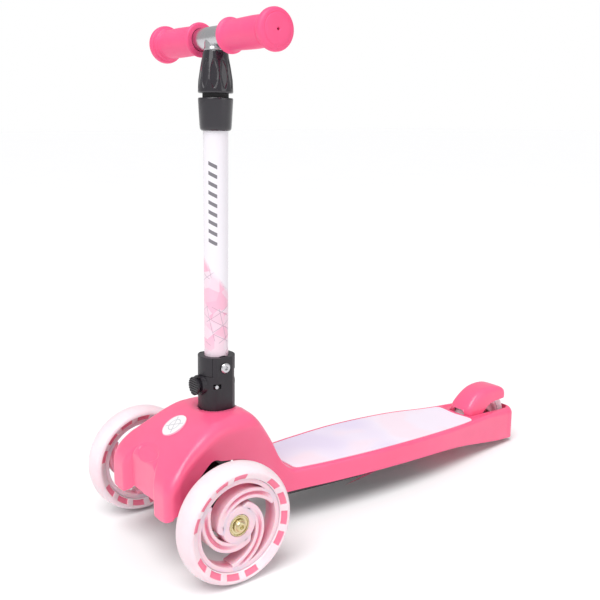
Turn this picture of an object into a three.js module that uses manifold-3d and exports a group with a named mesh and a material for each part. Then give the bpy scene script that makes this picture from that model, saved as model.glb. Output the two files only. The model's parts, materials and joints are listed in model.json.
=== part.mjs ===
// A child's lean-to-steer kick scooter: two front wheels, one rear wheel, a folding stem,
// a telescopic handlebar and a rear brake pedal.
// Units are millimetres. +Z is up, the front faces -Y, and X = 0 is the plane of symmetry.
// Everything is laid out with y = 0 at the front axle and z = 0 on the ground; the last group
// then moves the whole scooter so that its origin is the bottom centre of its bounding box.
import * as THREE from "three";
import { mergeVertices } from "three/addons/utils/BufferGeometryUtils.js";
import Module from "manifold-3d";

const wasm = await Module();
wasm.setup();

// ---- driving dimensions ----
const wheelbase = 458; // front axle to rear axle
const frontWheelD = 120;
const frontTyreWidth = 27.5;
const frontTrack = 197.8; // between the middles of the front tyres
const rearWheelD = 76;
const rearTyreWidth = 28;
const deckWidth = 103.8; // at its widest
const waistWidth = 78; // where the deck meets the hood
const hoodWidth = 128; // over the two front lobes
const hoodTop = 142; // height of the flat that carries the stem hinge
const deckFrontHeight = 62; // top of the deck behind the hood
const deckRearHeight = 50.3; // top of the deck at the tail
const shellWall = 3;
const pivotHeight = 185; // fold pivot above the ground
const pivotY = 43.3; // fold pivot behind the front axle
const stemRake = THREE.MathUtils.degToRad(1.24);
const stemTubeD = 25;
const stemTubeWall = 1.4;
const stemTopHeight = 267; // top of the outer tube above the pivot
const barHeight = 326; // handlebar axis above the pivot
const barD = 22;
const barTubeWall = 1.6;
const barHalfLength = 101;
const gripFlangeD = 38;
const hingeBlockD = 38.6; // round body of the fold hinge
const hingeFlatWidth = 34.2; // across its two side flats
const kingpinSpan = 116; // between the two kingpins
const kingpinCaster = THREE.MathUtils.degToRad(15);
const bearingOuterD = 22;
const bearingBoreD = 8;
const bearingWidth = 7;

// ---- clearances ----
const gap = 0.3; // between pieces that touch
const slideGap = 0.35; // round pieces that slide or turn
const looseGap = 1.2; // where a moving piece passes a fixed one

// ---- sizes that follow from the above ----
const frontR = frontWheelD / 2;
const rearR = rearWheelD / 2;
const halfTrack = frontTrack / 2;
const tailGap = 6; // behind the rear tyre
const tailEnd = wheelbase + rearR + tailGap;
const stemR = stemTubeD / 2;
const innerTubeR = stemR - stemTubeWall - slideGap;
const barR = barD / 2;
const blockR = hingeBlockD / 2;
const flatHalf = hingeFlatWidth / 2;

// ---- materials ----
const paint = (color, roughness, metalness = 0) =>
  new THREE.MeshStandardMaterial({ color, roughness, metalness });
const bodyPink = paint(0xff6f96, 0.42);
const gripPink = paint(0xff5f8e, 0.6);
const paleTyre = paint(0xf6e4ea, 0.35);
const corePink = paint(0xfa9bb4, 0.4);
const padLilac = paint(0xf3e8fa, 0.7);
const blackNylon = paint(0x2f2b33, 0.45);
const whitePaint = paint(0xf7f3f6, 0.3);
const steel = paint(0xc9cbd0, 0.3, 0.9);
const zinc = paint(0xd9cf9a, 0.3, 0.9);
const rubber = paint(0x2a2a2c, 0.8);
const badgeWhite = paint(0xf4f4f4, 0.3);
const ledGrey = paint(0xa894b4, 0.4);

// ---- helpers ----
// A closed three.js geometry becomes a solid: shared vertices are merged, slivers dropped,
// and the faces are turned outwards.
function solid(geometry) {
  const bare = geometry.index ? geometry.toNonIndexed() : geometry.clone();
  for (const name of Object.keys(bare.attributes)) {
    if (name !== "position") bare.deleteAttribute(name);
  }
  const merged = mergeVertices(bare, 1e-3);
  const p = merged.attributes.position.array;
  const index = merged.index.array;
  const kept = [];
  let volume = 0;
  for (let i = 0; i < index.length; i += 3) {
    const [a, b, c] = [index[i], index[i + 1], index[i + 2]];
    if (a === b || b === c || a === c) continue;
    kept.push(a, b, c);
    const va = new THREE.Vector3().fromArray(p, 3 * a);
    const vb = new THREE.Vector3().fromArray(p, 3 * b);
    const vc = new THREE.Vector3().fromArray(p, 3 * c);
    volume += va.dot(vb.cross(vc));
  }
  if (volume < 0) kept.reverse();
  const mesh = new wasm.Mesh({
    numProp: 3,
    vertProperties: new Float32Array(p),
    triVerts: new Uint32Array(kept),
  });
  return new wasm.Manifold(mesh);
}

function place(piece, x, y, z) {
  return piece.translate([x, y, z]);
}

function box(x0, x1, y0, y1, z0, z1) {
  const geometry = new THREE.BoxGeometry(x1 - x0, y1 - y0, z1 - z0);
  return place(solid(geometry), (x0 + x1) / 2, (y0 + y1) / 2, (z0 + z1) / 2);
}

// A turned shape: profile is a list of [radius, distance along the axis].
function turned(profile, axis = "z", segments = 32) {
  const points = profile.map(([r, h]) => new THREE.Vector2(r, h));
  const onAxis = points[0].x === 0 && points.at(-1).x === 0;
  if (!onAxis) points.push(points[0].clone());
  const piece = solid(new THREE.LatheGeometry(points, segments));
  return axis === "z" ? piece.rotate([90, 0, 0]) : piece.rotate([0, 0, -90]);
}

function rod(radius, from, to, axis = "z", segments = 24) {
  return turned([[0, from], [radius, from], [radius, to], [0, to]], axis, segments);
}

function pipe(inner, outer, from, to, axis = "z", segments = 32) {
  return turned([[inner, from], [outer, from], [outer, to], [inner, to]], axis, segments);
}

// An outline in the XY plane raised from z0 to z1.
function raised(points, z0, z1, holes = []) {
  const shape = new THREE.Shape(points.map(([x, y]) => new THREE.Vector2(x, y)));
  for (const hole of holes) {
    shape.holes.push(new THREE.Path(hole.map(([x, y]) => new THREE.Vector2(x, y))));
  }
  const geometry = new THREE.ExtrudeGeometry(shape, { depth: z1 - z0, bevelEnabled: false });
  return place(solid(geometry), 0, 0, z0);
}

function roundedBar(halfX, y0, y1, radius, steps = 6) {
  const points = [];
  const corners = [
    [halfX - radius, y0 + radius, -90],
    [halfX - radius, y1 - radius, 0],
    [-halfX + radius, y1 - radius, 90],
    [-halfX + radius, y0 + radius, 180],
  ];
  for (const [cx, cy, start] of corners) {
    for (let i = 0; i <= steps; i++) {
      const a = THREE.MathUtils.degToRad(start + (90 * i) / steps);
      points.push([cx + radius * Math.cos(a), cy + radius * Math.sin(a)]);
    }
  }
  return points;
}

function piece(name, shape, material, parent) {
  const mesh = shape.getMesh();
  const geometry = new THREE.BufferGeometry();
  geometry.setAttribute("position", new THREE.BufferAttribute(mesh.vertProperties, 3));
  geometry.setIndex(new THREE.BufferAttribute(mesh.triVerts, 1));
  geometry.computeVertexNormals();
  const node = new THREE.Mesh(geometry, material);
  node.name = name;
  parent.add(node);
  return node;
}

// A smooth curve through [position, value] stations.
function through(stations) {
  const n = stations.length;
  const slope = stations.map((_, i) => {
    const a = stations[Math.max(i - 1, 0)];
    const b = stations[Math.min(i + 1, n - 1)];
    return (b[1] - a[1]) / (b[0] - a[0]);
  });
  return (y) => {
    if (y <= stations[0][0]) return stations[0][1];
    if (y >= stations[n - 1][0]) return stations[n - 1][1];
    let i = 0;
    while (y > stations[i + 1][0]) i++;
    const h = stations[i + 1][0] - stations[i][0];
    const t = (y - stations[i][0]) / h;
    const a = (1 + 2 * t) * (1 - t) ** 2;
    const b = t * (1 - t) ** 2;
    const c = t * t * (3 - 2 * t);
    const d = t * t * (t - 1);
    return a * stations[i][1] + b * h * slope[i] + c * stations[i + 1][1] + d * h * slope[i + 1];
  };
}

const smooth = (a, b, v) => THREE.MathUtils.smoothstep(v, a, b);

// ---- the moulded body: hood, deck and tail in one shell ----
const deckStart = 112; // foot of the hood's rear slope
const deckAt = (share) => deckStart + share * (tailEnd - deckStart);
const halfDeck = deckWidth / 2;
const halfWaist = waistWidth / 2;
const halfHood = hoodWidth / 2;
const slotHalf = rearTyreWidth / 2 + 4.9; // half width of the wheel slot in the tail
const tailHalf = slotHalf + 9.6;

const bodyHalfWidth = through([
  [-38, halfHood],
  [-10, halfHood * 0.86],
  [20, halfHood * 0.78],
  [60, halfHood * 0.71],
  [96, halfWaist],
  [deckAt(0.15), halfDeck * 0.905],
  [deckAt(0.33), halfDeck],
  [deckAt(0.56), halfDeck * 0.945],
  [deckAt(0.77), halfDeck * 0.725],
  [deckAt(0.96), tailHalf],
]);

const crownHeight = through([
  [-52, hoodTop - 45],
  [-30, hoodTop - 27],
  [-8, hoodTop - 12.5],
  [8, hoodTop - 4.5],
  [24, hoodTop],
  [54, hoodTop],
  [63, hoodTop - 3.5],
  [71, hoodTop - 11.5],
  [79, hoodTop - 23.5],
  [88, hoodTop - 40],
  [96, deckFrontHeight + 22],
  [104, deckFrontHeight + 9],
  [deckStart, deckFrontHeight + 2],
  [120, deckFrontHeight],
  [deckAt(0.34), deckFrontHeight - 2.6],
  [deckAt(0.56), deckFrontHeight - 6.2],
  [deckAt(0.72), deckRearHeight + 1.3],
  [deckAt(0.83), deckRearHeight],
  [tailEnd, deckRearHeight - 2.5],
]);

// The rounded edge of the top: generous on the hood, tight along the deck and round the tail,
// and small above the wall between the two front lobes.
function edgeRadius(x, y) {
  const onWall = y < -30 ? 1 - smooth(21, 30, Math.abs(x)) : 0;
  return 13 - 8.5 * smooth(60, 108, y) + 4.5 * smooth(wheelbase - 18, wheelbase + 27, y) - 9 * onWall;
}

// The front face: two lobes stand forward of a flat wall between them.
const lobeFront = -51.5;
const wallFront = -44.5;
const lobeInner = 25; // where a lobe leaves the wall
const lobeRise = 11; // width over which it comes forward
const lobeFlat = 53; // where its front turns into the side
const lobeCorner = 9; // depth of that turn
function frontFace(x) {
  const share = THREE.MathUtils.clamp((x - lobeInner) / lobeRise, 0, 1);
  return wallFront + (lobeFront - wallFront) * Math.sin((share * Math.PI) / 2);
}

function bodyOutline(inset = 0) {
  const right = [];
  for (const x of [0, 13, lobeInner, lobeInner + 4, lobeInner + lobeRise, 45, lobeFlat]) {
    right.push([x, frontFace(x)]);
  }
  for (const turn of [30, 60, 90]) {
    const a = THREE.MathUtils.degToRad(turn);
    right.push([lobeFlat + (halfHood - lobeFlat) * Math.sin(a),
      lobeFront + lobeCorner * (1 - Math.cos(a))]);
  }
  for (const y of [-32, -22, -12, 0, 14, 34, 56, 66, 76, 86, 96, 106]) {
    right.push([bodyHalfWidth(y), y]);
  }
  for (let i = 0; i < 12; i++) {
    const y = 118 + ((tailEnd - 16 - 118) * i) / 11;
    right.push([bodyHalfWidth(y), y]);
  }
  const corner = 11;
  for (const turn of [30, 60, 90]) {
    const a = THREE.MathUtils.degToRad(turn);
    right.push([tailHalf - corner * (1 - Math.cos(a)), tailEnd - corner * (1 - Math.sin(a))]);
  }
  right.push([tailHalf / 3, tailEnd]);
  right.push([0, tailEnd]);
  const left = right.slice(1, -1).reverse().map(([x, y]) => [-x, y]);
  const loop = right.concat(left);
  if (inset === 0) return loop;
  return loop.map(([x, y], i) => {
    const before = loop[(i + loop.length - 1) % loop.length];
    const after = loop[(i + 1) % loop.length];
    const along = new THREE.Vector2(after[0] - before[0], after[1] - before[1]).normalize();
    return [x - along.y * inset, y + along.x * inset];
  });
}

const crownDrop = (y) => 4 * (1 - smooth(50, 110, y));
function topHeight(x, y) {
  const share = Math.min(Math.abs(x) / bodyHalfWidth(y), 1);
  return crownHeight(y) - crownDrop(y) * share * share;
}

// Lower edge of the skirt: low under the lobes, high over the wheel arches, then along the deck.
const lobeBottom = 56;
const wallBottom = 65;
const archTop = 104;
const frontEdge = through([
  [lobeInner - 2, wallBottom],
  [lobeInner + 3, wallBottom - 4.5],
  [lobeInner + 9, lobeBottom + 1],
  [44, lobeBottom],
  [lobeFlat, lobeBottom + 1],
  [58.5, lobeBottom + 2],
  [62.5, lobeBottom + 4.5],
  [halfHood, lobeBottom + 8],
]);
const archEdge = through([
  [-42.5, lobeBottom + 8],
  [-37, lobeBottom + 12],
  [-33, archTop - 31],
  [-26, archTop - 24],
  [-18, archTop - 17],
  [-10, archTop - 10.5],
  [-2, archTop - 4.5],
  [4, archTop - 0.5],
  [10, archTop],
  [16, archTop - 2.5],
  [24, archTop - 4.5],
  [37, archTop - 7],
  [55, archTop - 14],
  [74, archTop - 32],
  [86, archTop - 50],
  [96, 38.5],
]);
const deckEdge = through([
  [96, 38.5],
  [170, 37.3],
  [deckAt(0.33), 35.6],
  [deckAt(0.56), 31],
  [deckAt(0.67), 26],
  [deckAt(0.8), 16.5],
  [deckAt(0.92), 8.5],
  [tailEnd, 5.5],
]);
function skirtBottom(x, y) {
  if (y < -44) return frontEdge(Math.abs(x));
  return y < 96 ? archEdge(y) : deckEdge(y);
}

// Rings from the outline inwards to a spine on X = 0: skirt, rounded edge, then the top.
function bodySurface(inset, turns = [0, 45, 90], shares = [0.5, 0]) {
  const outline = bodyOutline(inset);
  const spineFront = -4;
  const spineRear = tailEnd - 24;
  const rows = [];
  const addRow = (make) => rows.push(outline.map(make));
  addRow(([x, y]) => [x, y, skirtBottom(x, y)]);
  for (const turn of turns) {
    const a = THREE.MathUtils.degToRad(turn);
    addRow(([x, y]) => {
      const radius = Math.max(edgeRadius(x, y) - inset, 1);
      const sy = THREE.MathUtils.clamp(y, spineFront, spineRear);
      const toSpine = new THREE.Vector2(-x, sy - y);
      const length = toSpine.length();
      const step = Math.min((radius * (1 - Math.cos(a))) / length, 0.9);
      const px = x + toSpine.x * step;
      const py = y + toSpine.y * step;
      return [px, py, topHeight(px, py) - inset - radius * (1 - Math.sin(a))];
    });
  }
  for (const share of shares) {
    addRow(([x, y]) => {
      const radius = Math.max(edgeRadius(x, y) - inset, 1);
      const sy = THREE.MathUtils.clamp(y, spineFront, spineRear);
      const length = Math.hypot(x, sy - y);
      const kept = (1 - radius / length) * share;
      const px = x * kept;
      const py = sy + (y - sy) * kept;
      return [px, py, topHeight(px, py) - inset];
    });
  }
  return rows;
}

function bodyShellSolid() {
  const outer = bodySurface(0, [0, 30, 60, 90], [0.66, 0.33, 0]);
  const inner = bodySurface(shellWall).reverse();
  const rows = outer.concat(inner);
  const count = rows[0].length;
  const positions = [];
  const corner = (r, i) => rows[r % rows.length][i % count];
  for (let r = 0; r < rows.length; r++) {
    if (r === outer.length - 1) continue; // the outer and inner tops close on the spine
    for (let i = 0; i < count; i++) {
      const [a, b, c, d] = [corner(r, i), corner(r, i + 1), corner(r + 1, i + 1), corner(r + 1, i)];
      positions.push(...a, ...b, ...c, ...a, ...c, ...d);
    }
  }
  const geometry = new THREE.BufferGeometry();
  geometry.setAttribute("position", new THREE.Float32BufferAttribute(positions, 3));
  return solid(geometry);
}

// Solid block that fills the shell's inside, for trimming ribs and bosses to it.
function insideOfShell() {
  const rows = bodySurface(shellWall - 0.5);
  const count = rows[0].length;
  const positions = [];
  for (let r = 0; r < rows.length - 1; r++) {
    for (let i = 0; i < count; i++) {
      const j = (i + 1) % count;
      positions.push(...rows[r][i], ...rows[r][j], ...rows[r + 1][j]);
      positions.push(...rows[r][i], ...rows[r + 1][j], ...rows[r + 1][i]);
    }
  }
  const middle = [0, wheelbase / 2, 20];
  for (let i = 0; i < count; i++) {
    positions.push(...rows[0][(i + 1) % count], ...rows[0][i], ...middle);
  }
  const geometry = new THREE.BufferGeometry();
  geometry.setAttribute("position", new THREE.Float32BufferAttribute(positions, 3));
  return solid(geometry);
}

const scooter = new THREE.Group();
const body = new THREE.Group();
scooter.add(body);

const slotFront = wheelbase - rearR - 5;
const pedalPinY = wheelbase - 28;
const pedalPinZ = deckRearHeight - 6.5;
const pedalPinR = 2.2;
const slotRear = tailEnd - shellWall;
const padFront = 118.5;
const padRear = slotFront - 2.7; // a narrow rim stays between the pad and the wheel slot
const padInset = 4.6;
const padDepth = 1.6;
const plateTop = 37;
const plateThickness = 3.8;
const plateFront = 98;
const plateRear = deckAt(0.6);
const screwR = 2;
const screwSeat = plateTop - 1.9; // the screw heads sit inside the plate
const screwPlaces = [
  [-20, 130],
  [20, 130],
  [-20, plateRear - 30],
  [20, plateRear - 30],
];
const postR = 5;
const axleR = 4;
const truckTop = frontR + 38;

// round badge set into the forward slope of the hood
const badgeR = 13.8;
const badgeY = -8;
const badgeDepth = 1.2;
function badgeDisc(radius, from, to) {
  const slope = Math.atan2(crownHeight(badgeY + 12) - crownHeight(badgeY - 12), 24);
  return rod(radius, from, to, "z", 36).rotate([THREE.MathUtils.radToDeg(slope), 0, 0])
    .translate([0, badgeY, crownHeight(badgeY)]);
}

function makeBodyShell() {
  let shell = bodyShellSolid();
  const inside = insideOfShell();
  // ribs under the deck and the hood
  let ribs = box(-1.25, 1.25, 102, slotFront - 6, plateTop + gap, 70);
  ribs = ribs.add(box(-1.25, 1.25, 56, 102, truckTop + 4, 150));
  ribs = ribs.add(box(-1.25, 1.25, wallFront, -22, 66, 150));
  for (let y = 146; y < plateRear; y += 40) {
    ribs = ribs.add(box(-60, 60, y - 1.25, y + 1.25, plateTop + gap, 70));
  }
  for (const [x, y] of screwPlaces) {
    ribs = ribs.add(rod(5, plateTop + gap, 70, "z", 20).translate([x, y, 0]));
  }
  // socket under the hood that the stem post passes through
  ribs = ribs.add(rod(16, truckTop + 2, 150, "z", 32).translate([0, pivotY - 1, 0]));
  // brackets that hold the rear axle
  const bracket = rod(9, slotHalf, 60, "x", 24).translate([0, wheelbase, rearR]);
  const post = box(slotHalf, 60, wheelbase - 9, wheelbase + 9, rearR, 60);
  ribs = ribs.add(bracket).add(post);
  ribs = ribs.add(bracket.mirror([1, 0, 0])).add(post.mirror([1, 0, 0]));
  // lugs that hold the brake pedal's pins
  const lug = box(slotHalf, slotHalf + 7, pedalPinY - 7, pedalPinY + 7, pedalPinZ - 7, 60);
  ribs = ribs.add(lug).add(lug.mirror([1, 0, 0]));
  shell = shell.add(ribs.intersect(inside));
  // wheel slot in the tail, open to the ground
  const slot = raised(roundedBar(slotHalf, slotFront, slotRear, 9), -10, 90);
  shell = shell.subtract(slot);
  shell = shell.subtract(rod(pedalPinR + gap, -slotHalf - 6.5, slotHalf + 6.5, "x", 18)
    .translate([0, pedalPinY, pedalPinZ]));
  // axle hole, open downwards so that the axle goes in from below
  shell = shell.subtract(rod(axleR + gap, -tailHalf + 1.5, tailHalf - 1.5, "x", 24)
    .translate([0, wheelbase, rearR]));
  shell = shell.subtract(box(-tailHalf + 4.5, tailHalf - 4.5, wheelbase - axleR - gap,
    wheelbase + axleR + gap, -10, rearR));
  // stem post and its seat
  shell = shell.subtract(rod(postR + gap, 60, 160, "z", 24).translate([0, pivotY - 1, 0]));
  shell = shell.subtract(rod(blockR + gap, hoodTop - 3, 170, "z", 48)
    .translate([0, pivotY - 1, 0]));
  for (const [x, y] of screwPlaces) {
    shell = shell.subtract(rod(screwR + gap, 20, 52, "z", 16).translate([x, y, 0]));
  }
  // recess for the deck pad
  const recess = padBlock(0, padDepth, 8);
  return shell.subtract(recess).subtract(badgeDisc(badgeR + gap, -badgeDepth, 20));
}

// The pad's outline, filled from a depth under the deck surface up to a height above it.
function padBlock(inset, depth, above) {
  const outline = bodyOutline(padInset + inset);
  const column = raised(outline, 20, 90);
  const window = box(-60, 60, padFront + inset, padRear - inset, 20, 90);
  const sheet = [];
  const stations = 24;
  const y0 = padFront - 6;
  const y1 = padRear + 6;
  for (let i = 0; i <= stations; i++) {
    const y = y0 + ((y1 - y0) * i) / stations;
    sheet.push([y, crownHeight(y)]);
  }
  const side = sheet.map(([y, z]) => [y, z - depth]);
  const top = sheet.map(([y, z]) => [y, z + above]).reverse();
  const band = raised(side.concat(top), -60, 60).rotate([90, 0, 90]);
  return column.intersect(window).intersect(band);
}

piece("body_shell", makeBodyShell(), bodyPink, body);
piece("deck_pad", padBlock(gap + 0.3, padDepth - gap, 0.2), padLilac, body);

function basePlate() {
  const outline = bodyOutline(shellWall + 1.2);
  let plate = raised(outline, plateTop - plateThickness, plateTop);
  plate = plate.intersect(box(-60, 60, plateFront, plateRear, 0, 60));
  const under = plateTop - plateThickness;
  const hole = rod(screwR + gap, 0, 60, "z", 16).add(rod(4.1, under - 1, screwSeat + gap, "z", 16));
  for (const [x, y] of screwPlaces) plate = plate.subtract(hole.translate([x, y, 0]));
  return plate;
}
piece("base_plate", basePlate(), blackNylon, body);

screwPlaces.forEach(([x, y], i) => {
  const screw = turned([[0, screwSeat - 1.5], [2.6, screwSeat - 1.5], [3.8, screwSeat - 0.6],
    [3.8, screwSeat], [screwR, screwSeat], [screwR, 50], [0, 50]], "z", 12);
  piece(`plate_screw_${i + 1}`, screw.translate([x, y, 0]), steel, body);
});

piece("badge", badgeDisc(badgeR, -badgeDepth + gap, 0.9), badgeWhite, body);

// ---- steering under the hood ----
const kingpinX = kingpinSpan / 2;
const kingpinR = 4;
const forkTop = frontR + 24;
const forkBottom = frontR - 20;
const knuckleHalf = 14; // half height of the knuckle's barrel
const knuckleR = 9;

// Leans a shape that stands on the kingpin's axis back by the caster angle.
function onKingpin(shape, side) {
  const lean = -THREE.MathUtils.radToDeg(kingpinCaster);
  return shape.rotate([lean, 0, 0]).translate([side * kingpinX, 0, frontR]);
}

const tieArm = 30; // behind the kingpin
const tieHeight = frontR - 10;
const tiePinR = 3;
const beamBottom = tieHeight + 9;

function truck() {
  let beam = box(-kingpinX + 12, kingpinX - 12, 2, 30, beamBottom, forkTop + 2);
  beam = beam.add(box(-kingpinX + 12, kingpinX - 12, -6, tieArm - 12, forkBottom + 2, forkTop));
  beam = beam.add(rod(14, beamBottom, truckTop, "z", 32).translate([0, pivotY - 1, 0]));
  beam = beam.add(box(-14, 14, 20, pivotY, beamBottom, truckTop));
  for (const side of [-1, 1]) {
    const arms = box(-14, 8, -10, 16, knuckleHalf + 1, knuckleHalf + 8)
      .add(box(-14, 8, -10, 16, -knuckleHalf - 8, -knuckleHalf - 1));
    const turnedArms = side < 0 ? arms.mirror([1, 0, 0]) : arms;
    beam = beam.add(onKingpin(turnedArms, side));
    beam = beam.add(side > 0
      ? box(kingpinX - 22, kingpinX - 11.5, -6, tieArm - 12, forkBottom - 4, forkTop + 3)
      : box(-kingpinX + 11.5, -kingpinX + 22, -6, tieArm - 12, forkBottom - 4, forkTop + 3));
  }
  for (const side of [-1, 1]) {
    beam = beam.subtract(onKingpin(rod(kingpinR + gap, -60, 60, "z", 24), side));
    // room for the knuckle to turn
    beam = beam.subtract(onKingpin(rod(knuckleR + looseGap, -knuckleHalf - 0.7,
      knuckleHalf + 0.7, "z", 32), side));
  }
  return beam.subtract(rod(postR + gap, 0, 160, "z", 24).translate([0, pivotY - 1, 0]));
}
piece("truck", truck(), blackNylon, body);

// long bolt that ties the hinge, the hood and the truck together
const postTop = hoodTop + 4;
const postBottom = beamBottom - gap;
piece("stem_post", turned([[0, postBottom - 6], [8, postBottom - 6], [8, postBottom],
  [postR, postBottom], [postR, postTop], [0, postTop]], "z", 28)
  .translate([0, pivotY - 1, 0]), steel, body);

const wheelBoltR = bearingBoreD / 2 - 0.05;

function knuckle(side) {
  const barrel = onKingpin(rod(knuckleR, -knuckleHalf, knuckleHalf, "z", 32), side);
  // stub that the wheel bolt screws into; it sits in front of the kingpin hole
  const stubEnd = halfTrack - frontTyreWidth / 2 + boltRecess - gap;
  let stub = rod(8, kingpinX + knuckleR - 2.2, stubEnd, "x", 28).translate([0, 0, frontR]);
  stub = stub.subtract(rod(wheelBoltR + gap, kingpinX + knuckleR - 0.5, stubEnd + 5, "x", 24)
    .translate([0, 0, frontR]));
  let arm = box(kingpinX - 5, kingpinX + 5, 3, tieArm, tieHeight - 3, tieHeight + 3);
  arm = arm.add(rod(5, tieHeight - 3, tieHeight + 3, "z", 24).translate([kingpinX, tieArm, 0]));
  arm = arm.subtract(rod(tiePinR + gap, 0, 100, "z", 20).translate([kingpinX, tieArm, 0]));
  const half = stub.add(arm);
  return barrel.add(side > 0 ? half : half.mirror([1, 0, 0]))
    .subtract(onKingpin(rod(kingpinR + slideGap, -60, 60, "z", 24), side));
}

function tieRod() {
  const z0 = tieHeight - 3 - looseGap - 3.5;
  const z1 = tieHeight - 3 - looseGap;
  const end = 8;
  const outline = [];
  for (const [cx, start] of [[kingpinX, -90], [-kingpinX, 90]]) {
    for (let i = 0; i <= 8; i++) {
      const a = THREE.MathUtils.degToRad(start + 22.5 * i);
      outline.push([cx + end * Math.cos(a), tieArm + end * Math.sin(a)]);
    }
  }
  let bar = raised(outline, z0, z1);
  for (const side of [-1, 1]) {
    bar = bar.subtract(rod(tiePinR + looseGap + 0.4, 0, 100, "z", 24)
      .translate([side * kingpinX, tieArm, 0]));
  }
  return bar.subtract(box(-18, 18, tieArm + 3, 60, 0, 100));
}

// ---- front wheels ----
const rimInner = frontR - 18.5;
const rimOuter = frontR - 14;
const hubR = 19;
const armHalf = 5; // half width of a spoke arm
const wheelBoltHead = 6.5;
const boltRecess = 5; // how far the bolt head sits inside the tyre's face

function tyreSection(inner, outer, width, crown) {
  const half = width / 2;
  const section = [[inner, -half + 4], [inner, half - 4], [outer - crown - 3, half]];
  for (const turn of [0, 45, 90, 135, 180]) {
    const a = THREE.MathUtils.degToRad(turn);
    section.push([outer - crown + crown * Math.sin(a), (half - 0.4) * Math.cos(a)]);
  }
  section.push([outer - crown - 3, -half]);
  return section;
}

// A spoke arm winds clockwise outwards: at radius r its middle line stands at the angle
// turn - 208 * ((r - 18) / 27) ^ 0.4, and its edges lie armHalf to each side of that line.
function spokeOutline(turn) {
  const winding = (r) => turn - 208 * ((r - hubR + 1) / 27) ** 0.4;
  const edge = (r, side) => {
    const a = THREE.MathUtils.degToRad(winding(r));
    const b = THREE.MathUtils.degToRad(winding(r + 0.01));
    const along = new THREE.Vector2((r + 0.01) * Math.cos(b) - r * Math.cos(a),
      (r + 0.01) * Math.sin(b) - r * Math.sin(a)).normalize();
    return [r * Math.cos(a) - side * armHalf * along.y, r * Math.sin(a) + side * armHalf * along.x];
  };
  const radii = [22, 25, 28.5, 32.5, 36.5, rimInner + 2];
  return radii.map((r) => edge(r, -1)).concat(radii.map((r) => edge(r, 1)).reverse());
}

function frontCore() {
  const half = frontTyreWidth / 2 - boltRecess;
  const seat = bearingOuterD / 2 + 0.05;
  let core = pipe(rimInner, rimOuter, -half, half, "x", 44);
  core = core.add(pipe(seat - 1.5, hubR, -half, half, "x", 24));
  for (const turn of [314, 194, 74]) {
    const spoke = raised(spokeOutline(turn), -half + 1, half - 1).rotate([0, 90, 0]);
    core = core.add(spoke);
  }
  core = core.intersect(rod(rimOuter, -half, half, "x", 44));
  core = core.subtract(rod(seat - 1.5, -40, 40, "x", 24));
  const shoulder = half - bearingWidth;
  return core.subtract(rod(seat, shoulder, 40, "x", 24)).subtract(rod(seat, -40, -shoulder, "x", 24));
}

function bearing(outerD, boreR, width) {
  return pipe(boreR, outerD / 2, -width / 2, width / 2, "x", 20);
}

function wheelBolt(side) {
  const headFrom = halfTrack + frontTyreWidth / 2 - boltRecess + gap;
  const shank = turned([[0, kingpinX + knuckleR + 0.5], [wheelBoltR, kingpinX + knuckleR + 0.5],
    [wheelBoltR, headFrom], [wheelBoltHead, headFrom], [wheelBoltHead, headFrom + 1.2],
    [wheelBoltHead - 1.6, headFrom + 3.2], [2.5, headFrom + 3.8], [0, headFrom + 3.8]], "x", 28);
  const socket = rod(2.4, headFrom + 1.4, headFrom + 9, "x", 6);
  const bolt = shank.subtract(socket).translate([0, 0, frontR]);
  return side > 0 ? bolt : bolt.mirror([1, 0, 0]);
}

for (const side of [1, -1]) {
  const word = side > 0 ? "left" : "right";
  const atWheel = (shape) => shape.translate([side * halfTrack, 0, frontR]);
  piece(`kingpin_${word}`, onKingpin(turned([[0, -knuckleHalf - 12], [6.5, -knuckleHalf - 12],
    [6.5, -knuckleHalf - 8 - gap], [kingpinR, -knuckleHalf - 8 - gap],
    [kingpinR, knuckleHalf + 8 + gap], [6.5, knuckleHalf + 8 + gap],
    [6.5, knuckleHalf + 11], [0, knuckleHalf + 11]], "z", 24), side), steel, body);
  piece(`knuckle_${word}`, knuckle(side), blackNylon, body);
  piece(`wheel_bolt_${word}`, wheelBolt(side), zinc, body);
  const pin = turned([[0, tieHeight - 12.5], [5, tieHeight - 12.5], [5, tieHeight - 9.1],
    [tiePinR, tieHeight - 9.1], [tiePinR, tieHeight + 3 + gap], [5, tieHeight + 3 + gap],
    [5, tieHeight + 6], [0, tieHeight + 6]], "z", 20);
  piece(`tie_pin_${word}`, pin.translate([side * kingpinX, tieArm, 0]), steel, body);
  const tyre = turned(tyreSection(rimOuter + gap, frontR, frontTyreWidth, 7), "x", 44);
  const ledPocket = box(-6, 6, -5, 5, rimOuter - 1, rimOuter + 7);
  piece(`tyre_${word}`, atWheel(tyre.subtract(ledPocket)), paleTyre, body);
  piece(`core_${word}`, atWheel(frontCore()), corePink, body);
  const led = box(-5.5, 5.5, -4.5, 4.5, rimOuter + gap + 0.2, rimOuter + 6.5);
  piece(`led_${word}`, atWheel(led), ledGrey, body);
  const bearingAt = frontTyreWidth / 2 - boltRecess - bearingWidth / 2;
  for (const [end, at] of [["outer", bearingAt], ["inner", -bearingAt]]) {
    const ring = bearing(bearingOuterD - 0.6, bearingBoreD / 2 + 0.3, bearingWidth - 0.6);
    piece(`bearing_${end}_${word}`, atWheel(ring.translate([side * at, 0, 0])), steel, body);
  }
}
piece("tie_rod", tieRod(), steel, body);

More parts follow.
